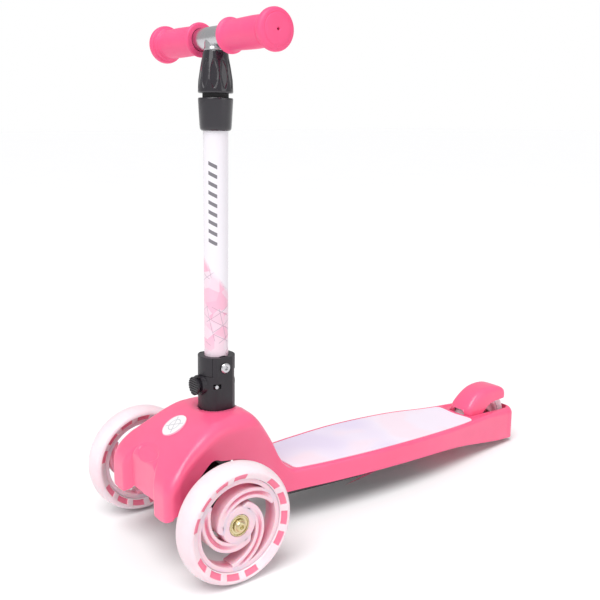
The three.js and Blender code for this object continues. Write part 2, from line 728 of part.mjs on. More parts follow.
// ---- rear wheel and brake ----
const rearHubR = 15;
function rearCore() {
  const half = rearTyreWidth / 2 - 2;
  let core = pipe(bearingOuterD / 2 - 1.5, rearR - 12, -half, half, "x", 36);
  const seat = bearingOuterD / 2 + 0.05;
  const shoulder = half - bearingWidth;
  core = core.subtract(rod(seat, shoulder, 40, "x", 24));
  core = core.subtract(rod(seat, -40, -shoulder, "x", 24));
  const groove = pipe(rearHubR, rearR - 16, half - 5, half + 5, "x", 24);
  return core.subtract(groove).subtract(groove.mirror([1, 0, 0]));
}
const atRear = (shape) => shape.translate([0, wheelbase, rearR]);
const rearTyre = turned(tyreSection(rearR - 12 + gap, rearR, rearTyreWidth, 5), "x", 36);
piece("tyre_rear", atRear(rearTyre), paleTyre, body);
piece("core_rear", atRear(rearCore()), corePink, body);
const rearBearingAt = rearTyreWidth / 2 - 2 - bearingWidth / 2;
for (const [word, at] of [["left", rearBearingAt], ["right", -rearBearingAt]]) {
  const ring = bearing(bearingOuterD - 0.6, axleR + 0.3, bearingWidth - 0.6);
  piece(`bearing_rear_${word}`, atRear(ring.translate([at, 0, 0])), steel, body);
}
piece("rear_axle", atRear(rod(axleR - 0.05, -tailHalf + 5, tailHalf - 5, "x", 28)), steel, body);
for (const side of [1, -1]) {
  const word = side > 0 ? "left" : "right";
  const keeper = box(slotHalf + 1, tailHalf - 5, wheelbase - axleR + 0.2, wheelbase + axleR - 0.2,
    rearR - 9.5, rearR - axleR - gap);
  piece(`axle_keeper_${word}`, side > 0 ? keeper : keeper.mirror([1, 0, 0]), blackNylon, body);
}

// The pedal is a rounded mudguard that turns on a short pin at each side of the wheel slot.
const pedalHalf = slotHalf - 0.7;
const pedalWall = 2.6;
const pedalFront = slotFront + 3;
const pedalNose = 8; // length over which the front rounds
const pedalHeel = 14;
const pedalRear = wheelbase + rearR + 1.5;
const pedalTop = rearWheelD + 4.4; // the crown follows the tyre
const pedalCrown = through([
  [pedalFront, deckRearHeight + 5.5],
  [wheelbase - 31, pedalTop - 14.2],
  [wheelbase - 21, pedalTop - 6.3],
  [wheelbase - 10, pedalTop - 1.6],
  [wheelbase, pedalTop],
  [wheelbase + 12, pedalTop + 0.2],
  [wheelbase + 22, pedalTop - 1.4],
  [wheelbase + 32, pedalTop - 5.6],
  [pedalRear, pedalTop - 12.5],
]);
const pedalSkirt = through([
  [pedalFront, pedalPinZ - 5],
  [pedalPinY + 5, pedalPinZ - 5],
  [wheelbase - 10, deckRearHeight - 0.5],
  [wheelbase - 2, deckRearHeight + 6],
  [wheelbase + 8, deckRearHeight + 9.7],
  [pedalRear, deckRearHeight + 11.5],
]);

function pedalLoft(inset) {
  const stations = 16;
  const across = 12;
  const y0 = pedalFront + inset;
  const y1 = pedalRear - inset;
  const rows = [];
  for (let i = 0; i <= stations; i++) {
    const y = y0 + (y1 - y0) * (0.5 - 0.5 * Math.cos((Math.PI * i) / stations));
    const nose = Math.min((y - y0) / pedalNose, 1);
    const heel = Math.min((y1 - y) / pedalHeel, 1);
    const round = Math.sqrt(Math.max(1 - (1 - nose) ** 2.5, 0.35));
    const half = (pedalHalf - inset) * round * Math.sqrt(Math.max(1 - (1 - heel) ** 3, 0.4));
    const top = pedalCrown(y) - inset;
    const edge = Math.min(pedalSkirt(y) - (inset > 0 ? 12 : 0), top - 4);
    const row = [];
    for (let k = 0; k <= across; k++) {
      const a = Math.PI * (k / across);
      const c = Math.cos(a);
      row.push([half * Math.sign(c) * Math.abs(c) ** 0.4, y,
        edge + (top - edge) * Math.sin(a) ** 0.45]);
    }
    rows.push(row);
  }
  const positions = [];
  const count = across + 1;
  for (let i = 0; i < stations; i++) {
    for (let k = 0; k < count; k++) {
      const j = (k + 1) % count;
      positions.push(...rows[i][k], ...rows[i][j], ...rows[i + 1][j]);
      positions.push(...rows[i][k], ...rows[i + 1][j], ...rows[i + 1][k]);
    }
  }
  for (const [row, flip] of [[rows[0], false], [rows[stations], true]]) {
    for (let k = 1; k < across; k++) {
      const [b, c] = flip ? [row[k], row[k + 1]] : [row[k + 1], row[k]];
      positions.push(...row[0], ...b, ...c);
    }
  }
  const geometry = new THREE.BufferGeometry();
  geometry.setAttribute("position", new THREE.Float32BufferAttribute(positions, 3));
  return solid(geometry);
}

function brakePedal() {
  let pedal = pedalLoft(0).subtract(pedalLoft(pedalWall));
  // clear of the tyre all round
  const half = rearTyreWidth / 2 + looseGap;
  const reach = rearR + 1.4;
  const room = turned([[0, -half], [reach - 4, -half], [reach - 1, -half + 1.5], [reach, -half + 5],
    [reach, half - 5], [reach - 1, half - 1.5], [reach - 4, half], [0, half]], "x", 36);
  pedal = pedal.subtract(room.translate([0, wheelbase, rearR]));
  return pedal.subtract(rod(pedalPinR + slideGap, -60, 60, "x", 20)
    .translate([0, pedalPinY, pedalPinZ]));
}
piece("brake_pedal", brakePedal(), bodyPink, body);
const pedalPinFrom = rearTyreWidth / 2 + looseGap + 0.3;
for (const side of [1, -1]) {
  const pin = rod(pedalPinR, pedalPinFrom, slotHalf + 6.2, "x", 18)
    .translate([0, pedalPinY, pedalPinZ]);
  const name = side > 0 ? "brake_pin_left" : "brake_pin_right";
  piece(name, side > 0 ? pin : pin.mirror([1, 0, 0]), steel, body);
}

// ---- fold hinge and stem, built upright about the pivot and then raked ----
const stem = new THREE.Group();
stem.position.set(0, pivotY, pivotHeight);
stem.rotation.x = -stemRake;
scooter.add(stem);

const cheekInner = stemR + 1.7;
const eyeR = 12; // round eye of the head about the pivot
const headHeel = -3.5; // underside of the head behind the pivot
const seam = -8.5; // where the hinge head meets the button housing
const rim = 11;
const blockBottom = hoodTop - pivotHeight - 2.1;
const buttonHeight = -19;
const housingR = 10.6;
const housingFront = -22.5;
const sweepR = Math.hypot(blockR, rim) + looseGap;
const lockPinR = 2.2;
const lockPinY = -10;
const buttonTravel = 3;
const pivotBoltR = 3;

const roundBlock = (from, to, r = blockR) => {
  const round = rod(r, from, to, "z", 40);
  return round.intersect(box(-flatHalf, flatHalf, -60, 60, from, to));
};

function hingeBase() {
  let base = roundBlock(blockBottom, seam - gap);
  base = base.add(roundBlock(seam - gap - 1, rim));
  base = base.add(rod(housingR, housingFront, 0, "x", 36).rotate([0, 0, 90])
    .translate([0, 0, buttonHeight]).intersect(box(-60, 60, housingFront, 0, -60, seam - gap)));
  // the head swings between the cheeks
  const sweep = rod(sweepR, -cheekInner, cheekInner, "x", 48)
    .intersect(box(-60, 60, headHeel - looseGap, 60, -60, 60));
  base = base.subtract(sweep);
  base = base.subtract(box(-cheekInner, cheekInner, -60, 60, seam - gap - 0.01, 60));
  base = base.subtract(rod(eyeR + 1, -cheekInner, cheekInner, "x", 40));
  // button bore, pin slot, pivot hole and post hole
  base = base.subtract(rod(7.4, housingFront - 5, -3.9, "x", 32).rotate([0, 0, 90])
    .translate([0, 0, buttonHeight]));
  const slot = box(-60, 60, lockPinY - lockPinR - gap, lockPinY + lockPinR + buttonTravel + gap,
    buttonHeight - lockPinR - gap, buttonHeight + lockPinR + gap);
  base = base.subtract(slot);
  base = base.subtract(rod(pivotBoltR + gap, -60, 60, "x", 24));
  return base.subtract(rod(postR + gap, -80, postTop - pivotHeight + 3, "z", 24));
}
piece("hinge_base", hingeBase(), blackNylon, stem);

function hingeHead() {
  const headHalf = cheekInner - slideGap;
  let head = roundBlock(seam, rim).intersect(box(-headHalf, headHalf, -60, 60, seam, rim));
  head = head.subtract(box(-60, 60, 0, 60, seam - 1, headHeel));
  head = head.add(rod(eyeR, -headHalf, headHalf, "x", 40));
  head = head.subtract(rod(stemR + gap, rim - 4.6, 60, "z", 40));
  head = head.add(rod(stemR - stemTubeWall - gap, rim - 6, 48, "z", 32));
  return head.subtract(rod(pivotBoltR + slideGap, -60, 60, "x", 24));
}
piece("hinge_head", hingeHead(), blackNylon, stem);

const boltFace = flatHalf + gap;
piece("pivot_bolt", turned([[0, -boltFace + 1], [pivotBoltR, -boltFace + 1],
  [pivotBoltR, boltFace], [5.4, boltFace], [5.4, boltFace + 1.2], [4.4, boltFace + 2.2],
  [2.6, boltFace + 2.4], [0, boltFace + 2.4]], "x", 28)
  .subtract(rod(2.3, boltFace + 0.4, boltFace + 9, "x", 6)), steel, stem);
piece("pivot_nut", turned([[0, -boltFace - 2.4], [2.6, -boltFace - 2.4],
  [4.4, -boltFace - 2.2], [5.4, -boltFace - 1.2], [5.4, -boltFace], [2.8, -boltFace],
  [2.8, -boltFace + 0.7], [0, -boltFace + 0.7]], "x", 28), steel, stem);

// push button on the front of the hinge, with its cross pin and return spring
function lockButton() {
  let cap = rod(9.6, housingFront - 5.4, housingFront - buttonTravel - gap, "x", 36)
    .rotate([0, 0, 90]);
  cap = cap.add(rod(7, housingFront - 4, -7.4, "x", 32).rotate([0, 0, 90]));
  for (let i = -3; i <= 3; i++) {
    cap = cap.subtract(box(-20, 20, housingFront - 8, housingFront - 4.6,
      i * 2.5 - 0.5, i * 2.5 + 0.5));
  }
  cap = cap.translate([0, 0, buttonHeight]);
  return cap.subtract(rod(lockPinR + 0.1, -30, 30, "x", 20)
    .translate([0, lockPinY, buttonHeight]));
}
piece("lock_button", lockButton(), blackNylon, stem);
piece("lock_pin", rod(lockPinR - 0.2, -flatHalf - 0.6, flatHalf + 0.6, "x", 24)
  .translate([0, lockPinY, buttonHeight]), steel, stem);

// outer tube with its lower and upper fittings
const tubeBottom = rim - 4.6 + gap;
piece("outer_tube", pipe(stemR - stemTubeWall, stemR, tubeBottom, stemTopHeight, "z", 32),
  whitePaint, stem);
const cupTop = stemTopHeight + 2.6;
const cupBottom = cupTop - 31.4;
piece("lower_collar", turned([[stemR + gap, cupBottom], [stemR + 1.4, cupBottom],
  [stemR + 2.9, cupBottom + 1.3], [stemR + 3.3, cupBottom + 3.5], [stemR + 4.7, cupTop - 1],
  [stemR + 4.3, cupTop], [stemR + gap, cupTop]], "z", 32), blackNylon, stem);
const nutBottom = cupTop + 4.4;
const nutTop = nutBottom + 40;
piece("collet", turned([[innerTubeR + gap, cupTop + gap], [stemR + 0.4, cupTop + gap],
  [stemR + 0.4, nutBottom + 14], [stemR - 0.8, nutBottom + 17], [innerTubeR + gap, nutBottom + 17]],
  "z", 28), rubber, stem);
piece("twist_nut", turned([[stemR + 0.8, nutBottom], [stemR + 4.3, nutBottom],
  [stemR + 4.75, nutBottom + 1], [stemR + 4.2, nutBottom + 12], [stemR + 2.4, nutBottom + 24],
  [stemR + 0.6, nutTop - 6], [stemR - 0.4, nutTop - 1], [stemR - 0.8, nutTop],
  [innerTubeR + gap, nutTop], [innerTubeR + gap, nutBottom + 18], [stemR + 0.8, nutBottom + 18]],
  "z", 32), blackNylon, stem);

// telescopic T-bar: a vertical tube welded under the handlebar tube
const innerBottom = stemTopHeight - 197; // leaves 77 mm in the tube at full height
function tBar() {
  let bar = rod(innerTubeR, innerBottom, barHeight, "z", 40)
    .add(rod(barR, -barHalfLength, barHalfLength, "x", 40).translate([0, 0, barHeight]));
  bar = bar.subtract(rod(barR - barTubeWall, -200, 200, "x", 32).translate([0, 0, barHeight]));
  return bar.subtract(rod(innerTubeR - barTubeWall, innerBottom - 5, barHeight - barR + 3, "z", 32));
}
piece("t_bar", tBar(), steel, stem);

const gripEnd = barHalfLength + gap;
function grip(side) {
  const bore = barR + gap;
  const flange = gripFlangeD / 2;
  const profile = [[bore, 26], [flange - 3.6, 26], [flange - 2.2, 27.5], [flange - 2.2, 29.5],
    [flange - 4, 31.5], [14.1, 35], [14.5, 55], [14.8, 72], [14.2, 86], [14.2, 90.5],
    [flange - 2.8, 92], [flange - 2.6, 95], [flange - 1, 95.6], [flange, 97.5], [flange, 101],
    [flange - 1.4, 103.2], [flange - 7, 104.5], [0.7, 105], [0.7, gripEnd], [bore, gripEnd]];
  const shape = turned(profile, "x", 26).translate([0, 0, barHeight]);
  return side > 0 ? shape : shape.mirror([1, 0, 0]);
}
piece("grip_left", grip(1), gripPink, stem);
piece("grip_right", grip(-1), gripPink, stem);

scooter.position.set(0, -(tailEnd - frontR) / 2, 0);

const root = new THREE.Group();
root.add(scooter);
export default root;
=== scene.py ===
import bmesh
import bpy
import json
import math
import numpy as np
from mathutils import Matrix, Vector


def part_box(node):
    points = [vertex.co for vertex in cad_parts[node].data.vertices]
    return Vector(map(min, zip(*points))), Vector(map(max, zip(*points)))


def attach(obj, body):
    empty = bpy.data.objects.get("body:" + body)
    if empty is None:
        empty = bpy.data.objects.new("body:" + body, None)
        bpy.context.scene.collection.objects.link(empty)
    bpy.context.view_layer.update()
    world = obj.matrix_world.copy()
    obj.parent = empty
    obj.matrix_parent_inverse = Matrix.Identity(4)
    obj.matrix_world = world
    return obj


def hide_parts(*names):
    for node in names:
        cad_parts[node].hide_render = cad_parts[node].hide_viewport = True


# The kick scooter's visible surfaces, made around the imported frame.
# Shapes are worked out in millimetres and become metres as the mesh is written.
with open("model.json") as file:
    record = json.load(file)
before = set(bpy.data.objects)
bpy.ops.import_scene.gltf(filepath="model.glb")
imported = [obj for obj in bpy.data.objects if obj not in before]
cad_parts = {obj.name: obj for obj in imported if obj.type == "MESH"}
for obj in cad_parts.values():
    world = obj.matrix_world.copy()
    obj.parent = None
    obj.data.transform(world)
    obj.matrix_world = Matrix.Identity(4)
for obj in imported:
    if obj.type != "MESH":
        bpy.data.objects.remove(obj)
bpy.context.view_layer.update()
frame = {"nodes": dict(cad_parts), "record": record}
jointOf = {joint["name"]: joint for joint in frame["record"]["behaviour"]["joints"]}


# lowest and highest corner of a CAD node, in millimetres
def boxOf(node):
    low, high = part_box(node)
    return np.array(low) * 1000, np.array(high) * 1000


# places taken from the frame
pivot = np.array(jointOf["stem_fold"]["pos_m"]) * 1000
stemUp = np.array(jointOf["bar_height"]["axis"])
stemBack = np.array([0, stemUp[2], -stemUp[1]])
axleY = jointOf["steer_left"]["pos_m"][1] * 1000
wheelMiddle = {
    "left": np.array(jointOf["wheel_left_spin"]["pos_m"]) * 1000,
    "right": np.array(jointOf["wheel_right_spin"]["pos_m"]) * 1000,
}
rearMiddle = np.array(jointOf["rear_wheel_spin"]["pos_m"]) * 1000
tailEnd = boxOf("body_shell")[1][1] - axleY


# mesh helpers
# quads of a grid whose points are numbered row by row
def gridFaces(rows, cols, closeRows=False, closeCols=False):
    r = np.arange(rows if closeRows else rows - 1)
    c = np.arange(cols if closeCols else cols - 1)
    r, c = np.meshgrid(r, c, indexing="ij")
    nextR, nextC = (r + 1) % rows, (c + 1) % cols
    corners = [r * cols + c, r * cols + nextC, nextR * cols + nextC, nextR * cols + c]
    return np.stack(corners, -1).reshape(-1, 4)


# several (points, faces) pairs as one
def joined(*parts):
    points, faces, start = [], [], 0
    for p, f in parts:
        points.append(p.reshape(-1, 3))
        faces.append(f + start)
        start += len(points[-1])
    return np.concatenate(points), np.concatenate(faces)


# One mesh from points in millimetres: doubles are merged, quads with two corners in one place
# become triangles, and the faces are turned outwards by the sign of the volume.
def makePiece(name, points, faces, finish, body, stands=(), values=None, uv=None,
              sharp=35):
    points = points.reshape(-1, 3)
    keys = np.round(points * 2000).astype(np.int64)
    _, first, where = np.unique(keys, axis=0, return_index=True, return_inverse=True)
    where = where.reshape(-1)
    index = where[faces]
    same = index == np.roll(index, -1, 1)
    count = 4 - same.sum(1)
    whole, three = count == 4, count == 3
    co = points[first] / 1000
    tri = index[three][~same[three]].reshape(-1, 3)
    quad = index[whole]
    fan = np.concatenate([tri, quad[:, :3], quad[:, [0, 2, 3]]])
    a, b, c = co[fan[:, 0]], co[fan[:, 1]], co[fan[:, 2]]
    volume = np.einsum("ij,ij->i", a, np.cross(b, c)).sum()
    loopSource = np.concatenate([faces[three][~same[three]].reshape(-1, 3).ravel(),
                                 faces[whole].ravel()])
    if volume < 0:
        tri, quad = tri[:, ::-1], quad[:, ::-1]
        loopSource = np.concatenate([
            faces[three][~same[three]].reshape(-1, 3)[:, ::-1].ravel(),
            faces[whole][:, ::-1].ravel()])
    mesh = bpy.data.meshes.new(name)
    mesh.vertices.add(len(co))
    mesh.vertices.foreach_set("co", co.ravel())
    loops = np.concatenate([tri.ravel(), quad.ravel()])
    mesh.loops.add(len(loops))
    mesh.loops.foreach_set("vertex_index", loops)
    sizes = np.concatenate([np.full(len(tri), 3), np.full(len(quad), 4)])
    mesh.polygons.add(len(sizes))
    mesh.polygons.foreach_set("loop_start", np.concatenate([[0], np.cumsum(sizes)[:-1]]))
    mesh.update(calc_edges=True)
    mesh.validate()
    for key, value in (values or {}).items():
        layer = mesh.attributes.new(key, "FLOAT", "POINT")
        layer.data.foreach_set("value", np.asarray(value, float).ravel()[first])
    if uv is not None:
        layer = mesh.uv_layers.new(name="UVMap")
        layer.data.foreach_set("uv", uv.reshape(-1, 2)[loopSource].ravel())
    mesh.polygons.foreach_set("use_smooth", np.ones(len(mesh.polygons), bool))
    mesh.set_sharp_from_angle(angle=math.radians(sharp))
    mesh.materials.append(finish)
    piece = bpy.data.objects.new(name, mesh)
    bpy.context.scene.collection.objects.link(piece)
    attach(piece, body)
    if stands:
        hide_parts(*stands)
    return piece


# A profile from corners (r, h, radius): each corner is cut back by its radius along both sides
# and filled with a quadratic curve whose middle handle is the corner itself.
def rounded(corners, steps=5):
    corners = [tuple(c) + (0,) * (3 - len(c)) for c in corners]
    out = []
    for i, (r, h, radius) in enumerate(corners):
        here = np.array([r, h], float)
        if radius == 0:
            out.append(here[None])
            continue
        before = np.array(corners[i - 1][:2], float) - here
        after = np.array(corners[(i + 1) % len(corners)][:2], float) - here
        start = here + before * min(radius / np.linalg.norm(before), 0.49)
        end = here + after * min(radius / np.linalg.norm(after), 0.49)
        t = np.linspace(0, 1, steps + 1)[:, None]
        out.append((1 - t) ** 2 * start + 2 * t * (1 - t) * here + t * t * end)
    return np.concatenate(out)


# The profile (r, h) turned about Z: x = r cos a, y = r sin a, z = h. wobble adds to r.
def lathe(profile, segments=96, closed=False, wobble=None):
    a = np.linspace(0, 2 * np.pi, segments, endpoint=False)
    r, h = np.broadcast_arrays(profile[:, :1], np.zeros((1, segments)))[0], profile[:, 1:]
    h = np.broadcast_to(h, r.shape)
    if wobble is not None:
        r = r + wobble(a[None, :], h, r)
    points = np.stack([r * np.cos(a), r * np.sin(a), h], -1)
    return points, gridFaces(len(profile), segments, closed, True)


# turns Z-up points so that their axis is X (outwards for side 1 or -1), at middle
def alongX(points, middle, side=1):
    p = points.reshape(-1, 3)
    return np.stack([side * p[:, 2], p[:, 0], p[:, 1]], -1) + middle


# stem coordinates about the fold pivot into the frame
def onStem(points):
    p = points.reshape(-1, 3)
    return pivot + p[:, :1] * [1, 0, 0] + p[:, 1:2] * stemBack + p[:, 2:] * stemUp


# a smooth curve through (position, value) stations, worked out for whole arrays
def through(stations):
    at = np.array([s[0] for s in stations], float)
    value = np.array([s[1] for s in stations], float)
    n = np.arange(len(at))
    low, high = np.maximum(n - 1, 0), np.minimum(n + 1, len(at) - 1)
    slope = (value[high] - value[low]) / (at[high] - at[low])

    def curve(y):
        y = np.clip(np.asarray(y, float), at[0], at[-1])
        i = np.clip(np.searchsorted(at, y, side="right") - 1, 0, len(at) - 2)
        h = at[i + 1] - at[i]
        t = (y - at[i]) / h
        return ((1 + 2 * t) * (1 - t) ** 2 * value[i] + t * (1 - t) ** 2 * h * slope[i]
                + t * t * (3 - 2 * t) * value[i + 1] + t * t * (t - 1) * h * slope[i + 1])
    return curve


def smooth(a, b, v):
    t = np.clip((v - a) / (b - a), 0, 1)
    return t * t * (3 - 2 * t)


# materials
def shaderParts(name):
    finish = bpy.data.materials.new(name)
    finish.use_nodes = True
    tree = finish.node_tree
    shader = tree.nodes["Principled BSDF"]
    place = tree.nodes.new("ShaderNodeTexCoord")
    return finish, tree, shader, place


# a colour mix; factor, a and b are sockets or plain values
def mixColor(tree, factor, a, b):
    mix = tree.nodes.new("ShaderNodeMix")
    mix.data_type = "RGBA"
    for socket, value in ((mix.inputs[0], factor), (mix.inputs[6], a), (mix.inputs[7], b)):
        if isinstance(value, bpy.types.NodeSocket):
            tree.links.new(value, socket)
        else:
            socket.default_value = (*value, 1) if isinstance(value, (tuple, list)) else value
    return mix.outputs[2]


def calc(tree, operation, a, b=None, c=None, clamp=False):
    node = tree.nodes.new("ShaderNodeMath")
    node.operation = operation
    node.use_clamp = clamp
    for socket, value in zip(node.inputs, (a, b, c)):
        if value is None:
            continue
        if isinstance(value, bpy.types.NodeSocket):
            tree.links.new(value, socket)
        else:
            socket.default_value = value
    return node.outputs[0]


def noiseOf(tree, place, scale, detail=4):
    noise = tree.nodes.new("ShaderNodeTexNoise")
    noise.inputs["Scale"].default_value = scale
    noise.inputs["Detail"].default_value = detail
    tree.links.new(place, noise.inputs["Vector"])
    return noise.outputs["Fac"]


def spread(tree, value, low, high, toLow, toHigh):
    node = tree.nodes.new("ShaderNodeMapRange")
    for i, number in enumerate((low, high, toLow, toHigh)):
        node.inputs[i + 1].default_value = number
    tree.links.new(value, node.inputs[0])
    return node.outputs[0]


def bumpBy(tree, shader, height, strength, distance=0.0004):
    bump = tree.nodes.new("ShaderNodeBump")
    bump.inputs["Strength"].default_value = strength
    bump.inputs["Distance"].default_value = distance
    tree.links.new(height, bump.inputs["Height"])
    tree.links.new(bump.outputs[0], shader.inputs["Normal"])


# Moulded or painted finish: two close tones by soft noise, a roughness that wanders, and a very
# fine surface texture.
def moulded(name, settings):
    finish, tree, shader, place = shaderParts(name)
    where = place.outputs["Object"]
    tone = noiseOf(tree, where, settings.get("toneScale", 14))
    color = mixColor(tree, spread(tree, tone, 0.35, 0.65, 0, 1), settings["color"],
                     settings["second"])
    tree.links.new(color, shader.inputs["Base Color"])
    wander = noiseOf(tree, where, 60, 3)
    rough, swing = settings["rough"], settings.get("swing", 0.05)
    tree.links.new(spread(tree, wander, 0.3, 0.7, rough - swing, rough + swing),
                   shader.inputs["Roughness"])
    bumpBy(tree, shader, noiseOf(tree, where, settings.get("grainScale", 1400), 2),
           settings.get("grain", 0.06), 0.0002)
    for key, socket in (("metal", "Metallic"), ("coat", "Coat Weight"),
                        ("sub", "Subsurface Weight")):
        if key in settings:
            shader.inputs[socket].default_value = settings[key]
    if "sub" in settings:
        shader.inputs["Subsurface Radius"].default_value = (1, 0.4, 0.4)
        shader.inputs["Subsurface Scale"].default_value = settings.get("subScale", 0.004)
    return finish


pinkShell = moulded("pinkShell", {"color": (0.88, 0.1, 0.23), "second": (0.91, 0.115, 0.255),
                                  "rough": 0.34, "coat": 0.3, "sub": 0.12, "subScale": 0.006,
                                  "grain": 0.05})
pinkGrip = moulded("pinkGrip", {"color": (0.87, 0.075, 0.22), "second": (0.9, 0.095, 0.25),
                                "rough": 0.5,
                                "sub": 0.1, "grain": 0.16, "grainScale": 900})
pinkCore = moulded("pinkCore", {"color": (0.86, 0.42, 0.52), "second": (0.9, 0.48, 0.57),
                                "rough": 0.4,
                                "sub": 0.3, "subScale": 0.008, "coat": 0.15, "grain": 0.05})
blackNylon = moulded("blackNylon", {"color": (0.011, 0.009, 0.013), "second": (0.016, 0.013, 0.019),
                                    "rough": 0.4, "swing": 0.08, "grain": 0.2, "grainScale": 1100})
glossBlack = moulded("glossBlack", {"color": (0.014, 0.012, 0.017), "second": (0.019, 0.016, 0.023),
                                    "rough": 0.2, "coat": 0.4, "grain": 0.04})
darkRubber = moulded("darkRubber", {"color": (0.014, 0.013, 0.015), "second": (0.022, 0.021, 0.023),
                                    "rough": 0.75, "grain": 0.25, "grainScale": 700})
plainSteel = moulded("plainSteel", {"color": (0.55, 0.55, 0.57), "second": (0.63, 0.63, 0.65),
                                    "rough": 0.24, "metal": 1, "swing": 0.08, "grain": 0.05})
yellowZinc = moulded("yellowZinc", {"color": (0.62, 0.52, 0.27), "second": (0.72, 0.64, 0.4),
                                    "rough": 0.27, "metal": 1, "swing": 0.08, "toneScale": 160,
                                    "grain": 0.06})
ledTint = moulded("ledTint", {"color": (0.4, 0.28, 0.44), "second": (0.5, 0.38, 0.53),
                              "rough": 0.25,
                              "coat": 0.3, "sub": 0.2, "grain": 0.02})


# Pale translucent urethane; the moulded-in pink windows show where the attribute says.
def paleTyreFinish():
    finish, tree, shader, place = shaderParts("paleTyre")
    where = place.outputs["Object"]
    window = tree.nodes.new("ShaderNodeAttribute")
    window.attribute_name = "window"
    haze = noiseOf(tree, where, 30)
    pale = mixColor(tree, spread(tree, haze, 0.35, 0.65, 0, 1), (0.83, 0.66, 0.71),
                    (0.87, 0.74, 0.78))
    color = mixColor(tree, window.outputs["Fac"], pale, (0.86, 0.2, 0.32))
    tree.links.new(color, shader.inputs["Base Color"])
    tree.links.new(spread(tree, noiseOf(tree, where, 90), 0.3, 0.7, 0.3, 0.42),
                   shader.inputs["Roughness"])
    shader.inputs["Subsurface Weight"].default_value = 0.5
    shader.inputs["Subsurface Radius"].default_value = (1, 0.55, 0.6)
    shader.inputs["Subsurface Scale"].default_value = 0.006
    bumpBy(tree, shader, noiseOf(tree, where, 500, 3), 0.05)
    return finish


paleTyre = paleTyreFinish()
print("materials for moulded parts ready")

# the moulded body
bodySet = {
    "halfHood": 64, "halfDeck": 51.9, "halfWaist": 39, "hoodTop": 142, "deckFront": 62,
    "deckRear": 50.3,
    "wall": 3, "lobeFront": -51.5, "wallFront": -44.5, "lobeInner": 25, "lobeRise": 11,
    "lobeFlat": 53,
    "lobeCorner": 9, "lobeBottom": 56, "wallBottom": 65, "archTop": 104, "deckStart": 112,
    "padInset": 4.6, "padFront": 118.5, "padCorner": 7, "padDepth": 1.5, "padGap": 1.1,
    "columnStep": 1.7,
    # rows of the outer skin and of the plainer inner one
    "skirtRows": (16, 4), "edgeRows": (10, 4), "topRows": (34, 8),
    "lipSteps": (0.15, 0.35, 0.55, 0.8, 1.2, 2),
}
slotLow, slotHigh = boxOf("brake_pedal")
slotHalf = slotHigh[0] + 0.7
slotFront = slotLow[1] - axleY - 3
slotRear = tailEnd - bodySet["wall"]
tailHalf = slotHalf + 9.6
padRear = boxOf("deck_pad")[1][1] - axleY + 0.6


def deckAt(share):
    return bodySet["deckStart"] + share * (tailEnd - bodySet["deckStart"])


halfWidth = through([
    (-38, bodySet["halfHood"]), (-10, bodySet["halfHood"] * 0.86), (20, bodySet["halfHood"] * 0.78),
    (60, bodySet["halfHood"] * 0.71), (96, bodySet["halfWaist"]),
    (deckAt(0.15), bodySet["halfDeck"] * 0.905),
    (deckAt(0.33), bodySet["halfDeck"]), (deckAt(0.56), bodySet["halfDeck"] * 0.945),
    (deckAt(0.77), bodySet["halfDeck"] * 0.725), (deckAt(0.96), tailHalf)])
top, low, tail = bodySet["hoodTop"], bodySet["deckFront"], bodySet["deckRear"]
crown = through([
    (-52, top - 45), (-30, top - 27), (-8, top - 12.5), (8, top - 4.5), (24, top), (54, top),
    (63, top - 3.5), (71, top - 11.5), (79, top - 23.5), (88, top - 40), (96, low + 22),
    (104, low + 9),
    (bodySet["deckStart"], low + 2), (120, low), (deckAt(0.34), low - 2.6),
    (deckAt(0.56), low - 6.2),
    (deckAt(0.72), tail + 1.3), (deckAt(0.83), tail), (tailEnd, tail - 2.5)])
deckEdge = through([
    (96, 38.5), (170, 37.3), (deckAt(0.33), 35.6), (deckAt(0.56), 31), (deckAt(0.67), 26),
    (deckAt(0.8), 16.5), (deckAt(0.92), 8.5), (tailEnd, 5.5)])


lobeLow, archHigh, wallLow = bodySet["lobeBottom"], bodySet["archTop"], bodySet["wallBottom"]
frontEdge = through([
    (23, wallLow), (28, wallLow - 4.5), (34, lobeLow + 1), (44, lobeLow), (53, lobeLow + 1),
    (58.5, lobeLow + 2), (62.5, lobeLow + 4.5), (64, lobeLow + 8)])
archEdge = through([
    (-42.5, lobeLow + 8), (-37, lobeLow + 12), (-33, archHigh - 31), (-26, archHigh - 24),
    (-18, archHigh - 17), (-10, archHigh - 10.5), (-2, archHigh - 4.5), (4, archHigh - 0.5),
    (10, archHigh),
    (16, archHigh - 2.5), (24, archHigh - 4.5), (37, archHigh - 7), (55, archHigh - 14),
    (74, archHigh - 32), (86, archHigh - 50), (96, 38.5)])


# rounding of the top's edge: wide on the hood, tight along the deck, small over the front wall
def edgeRadius(x, y):
    onWall = (1 - smooth(21, 30, np.abs(x))) * (y < -30)
    return 13 - 8.5 * smooth(60, 108, y) + 4.5 * smooth(440, 485, y) - 9 * onWall


# the wall between the lobes, then a quarter sine wave forward on to each lobe
def frontFace(x):
    share = np.clip((x - bodySet["lobeInner"]) / bodySet["lobeRise"], 0, 1)
    rise = bodySet["lobeFront"] - bodySet["wallFront"]
    return bodySet["wallFront"] + rise * np.sin(share * np.pi / 2)


def skirtBottom(x, y):
    return np.where(y < -44, frontEdge(np.abs(x)), np.where(y < 96, archEdge(y), deckEdge(y)))


# distance inside the deck pad's outline, with rounded corners
def padInside(x, y, inset=0):
    across = halfWidth(y) - bodySet["padInset"] - inset - np.abs(x)
    rearWave = 1.2 * np.cos(x / 36 * np.pi * 1.5)
    along = np.minimum(y - bodySet["padFront"] - inset, padRear - inset - y - rearWave)
    r = bodySet["padCorner"]
    corner = r - np.hypot(np.maximum(r - across, 0), np.maximum(r - along, 0))
    return np.where((across < r) & (along < r), corner, np.minimum(across, along))


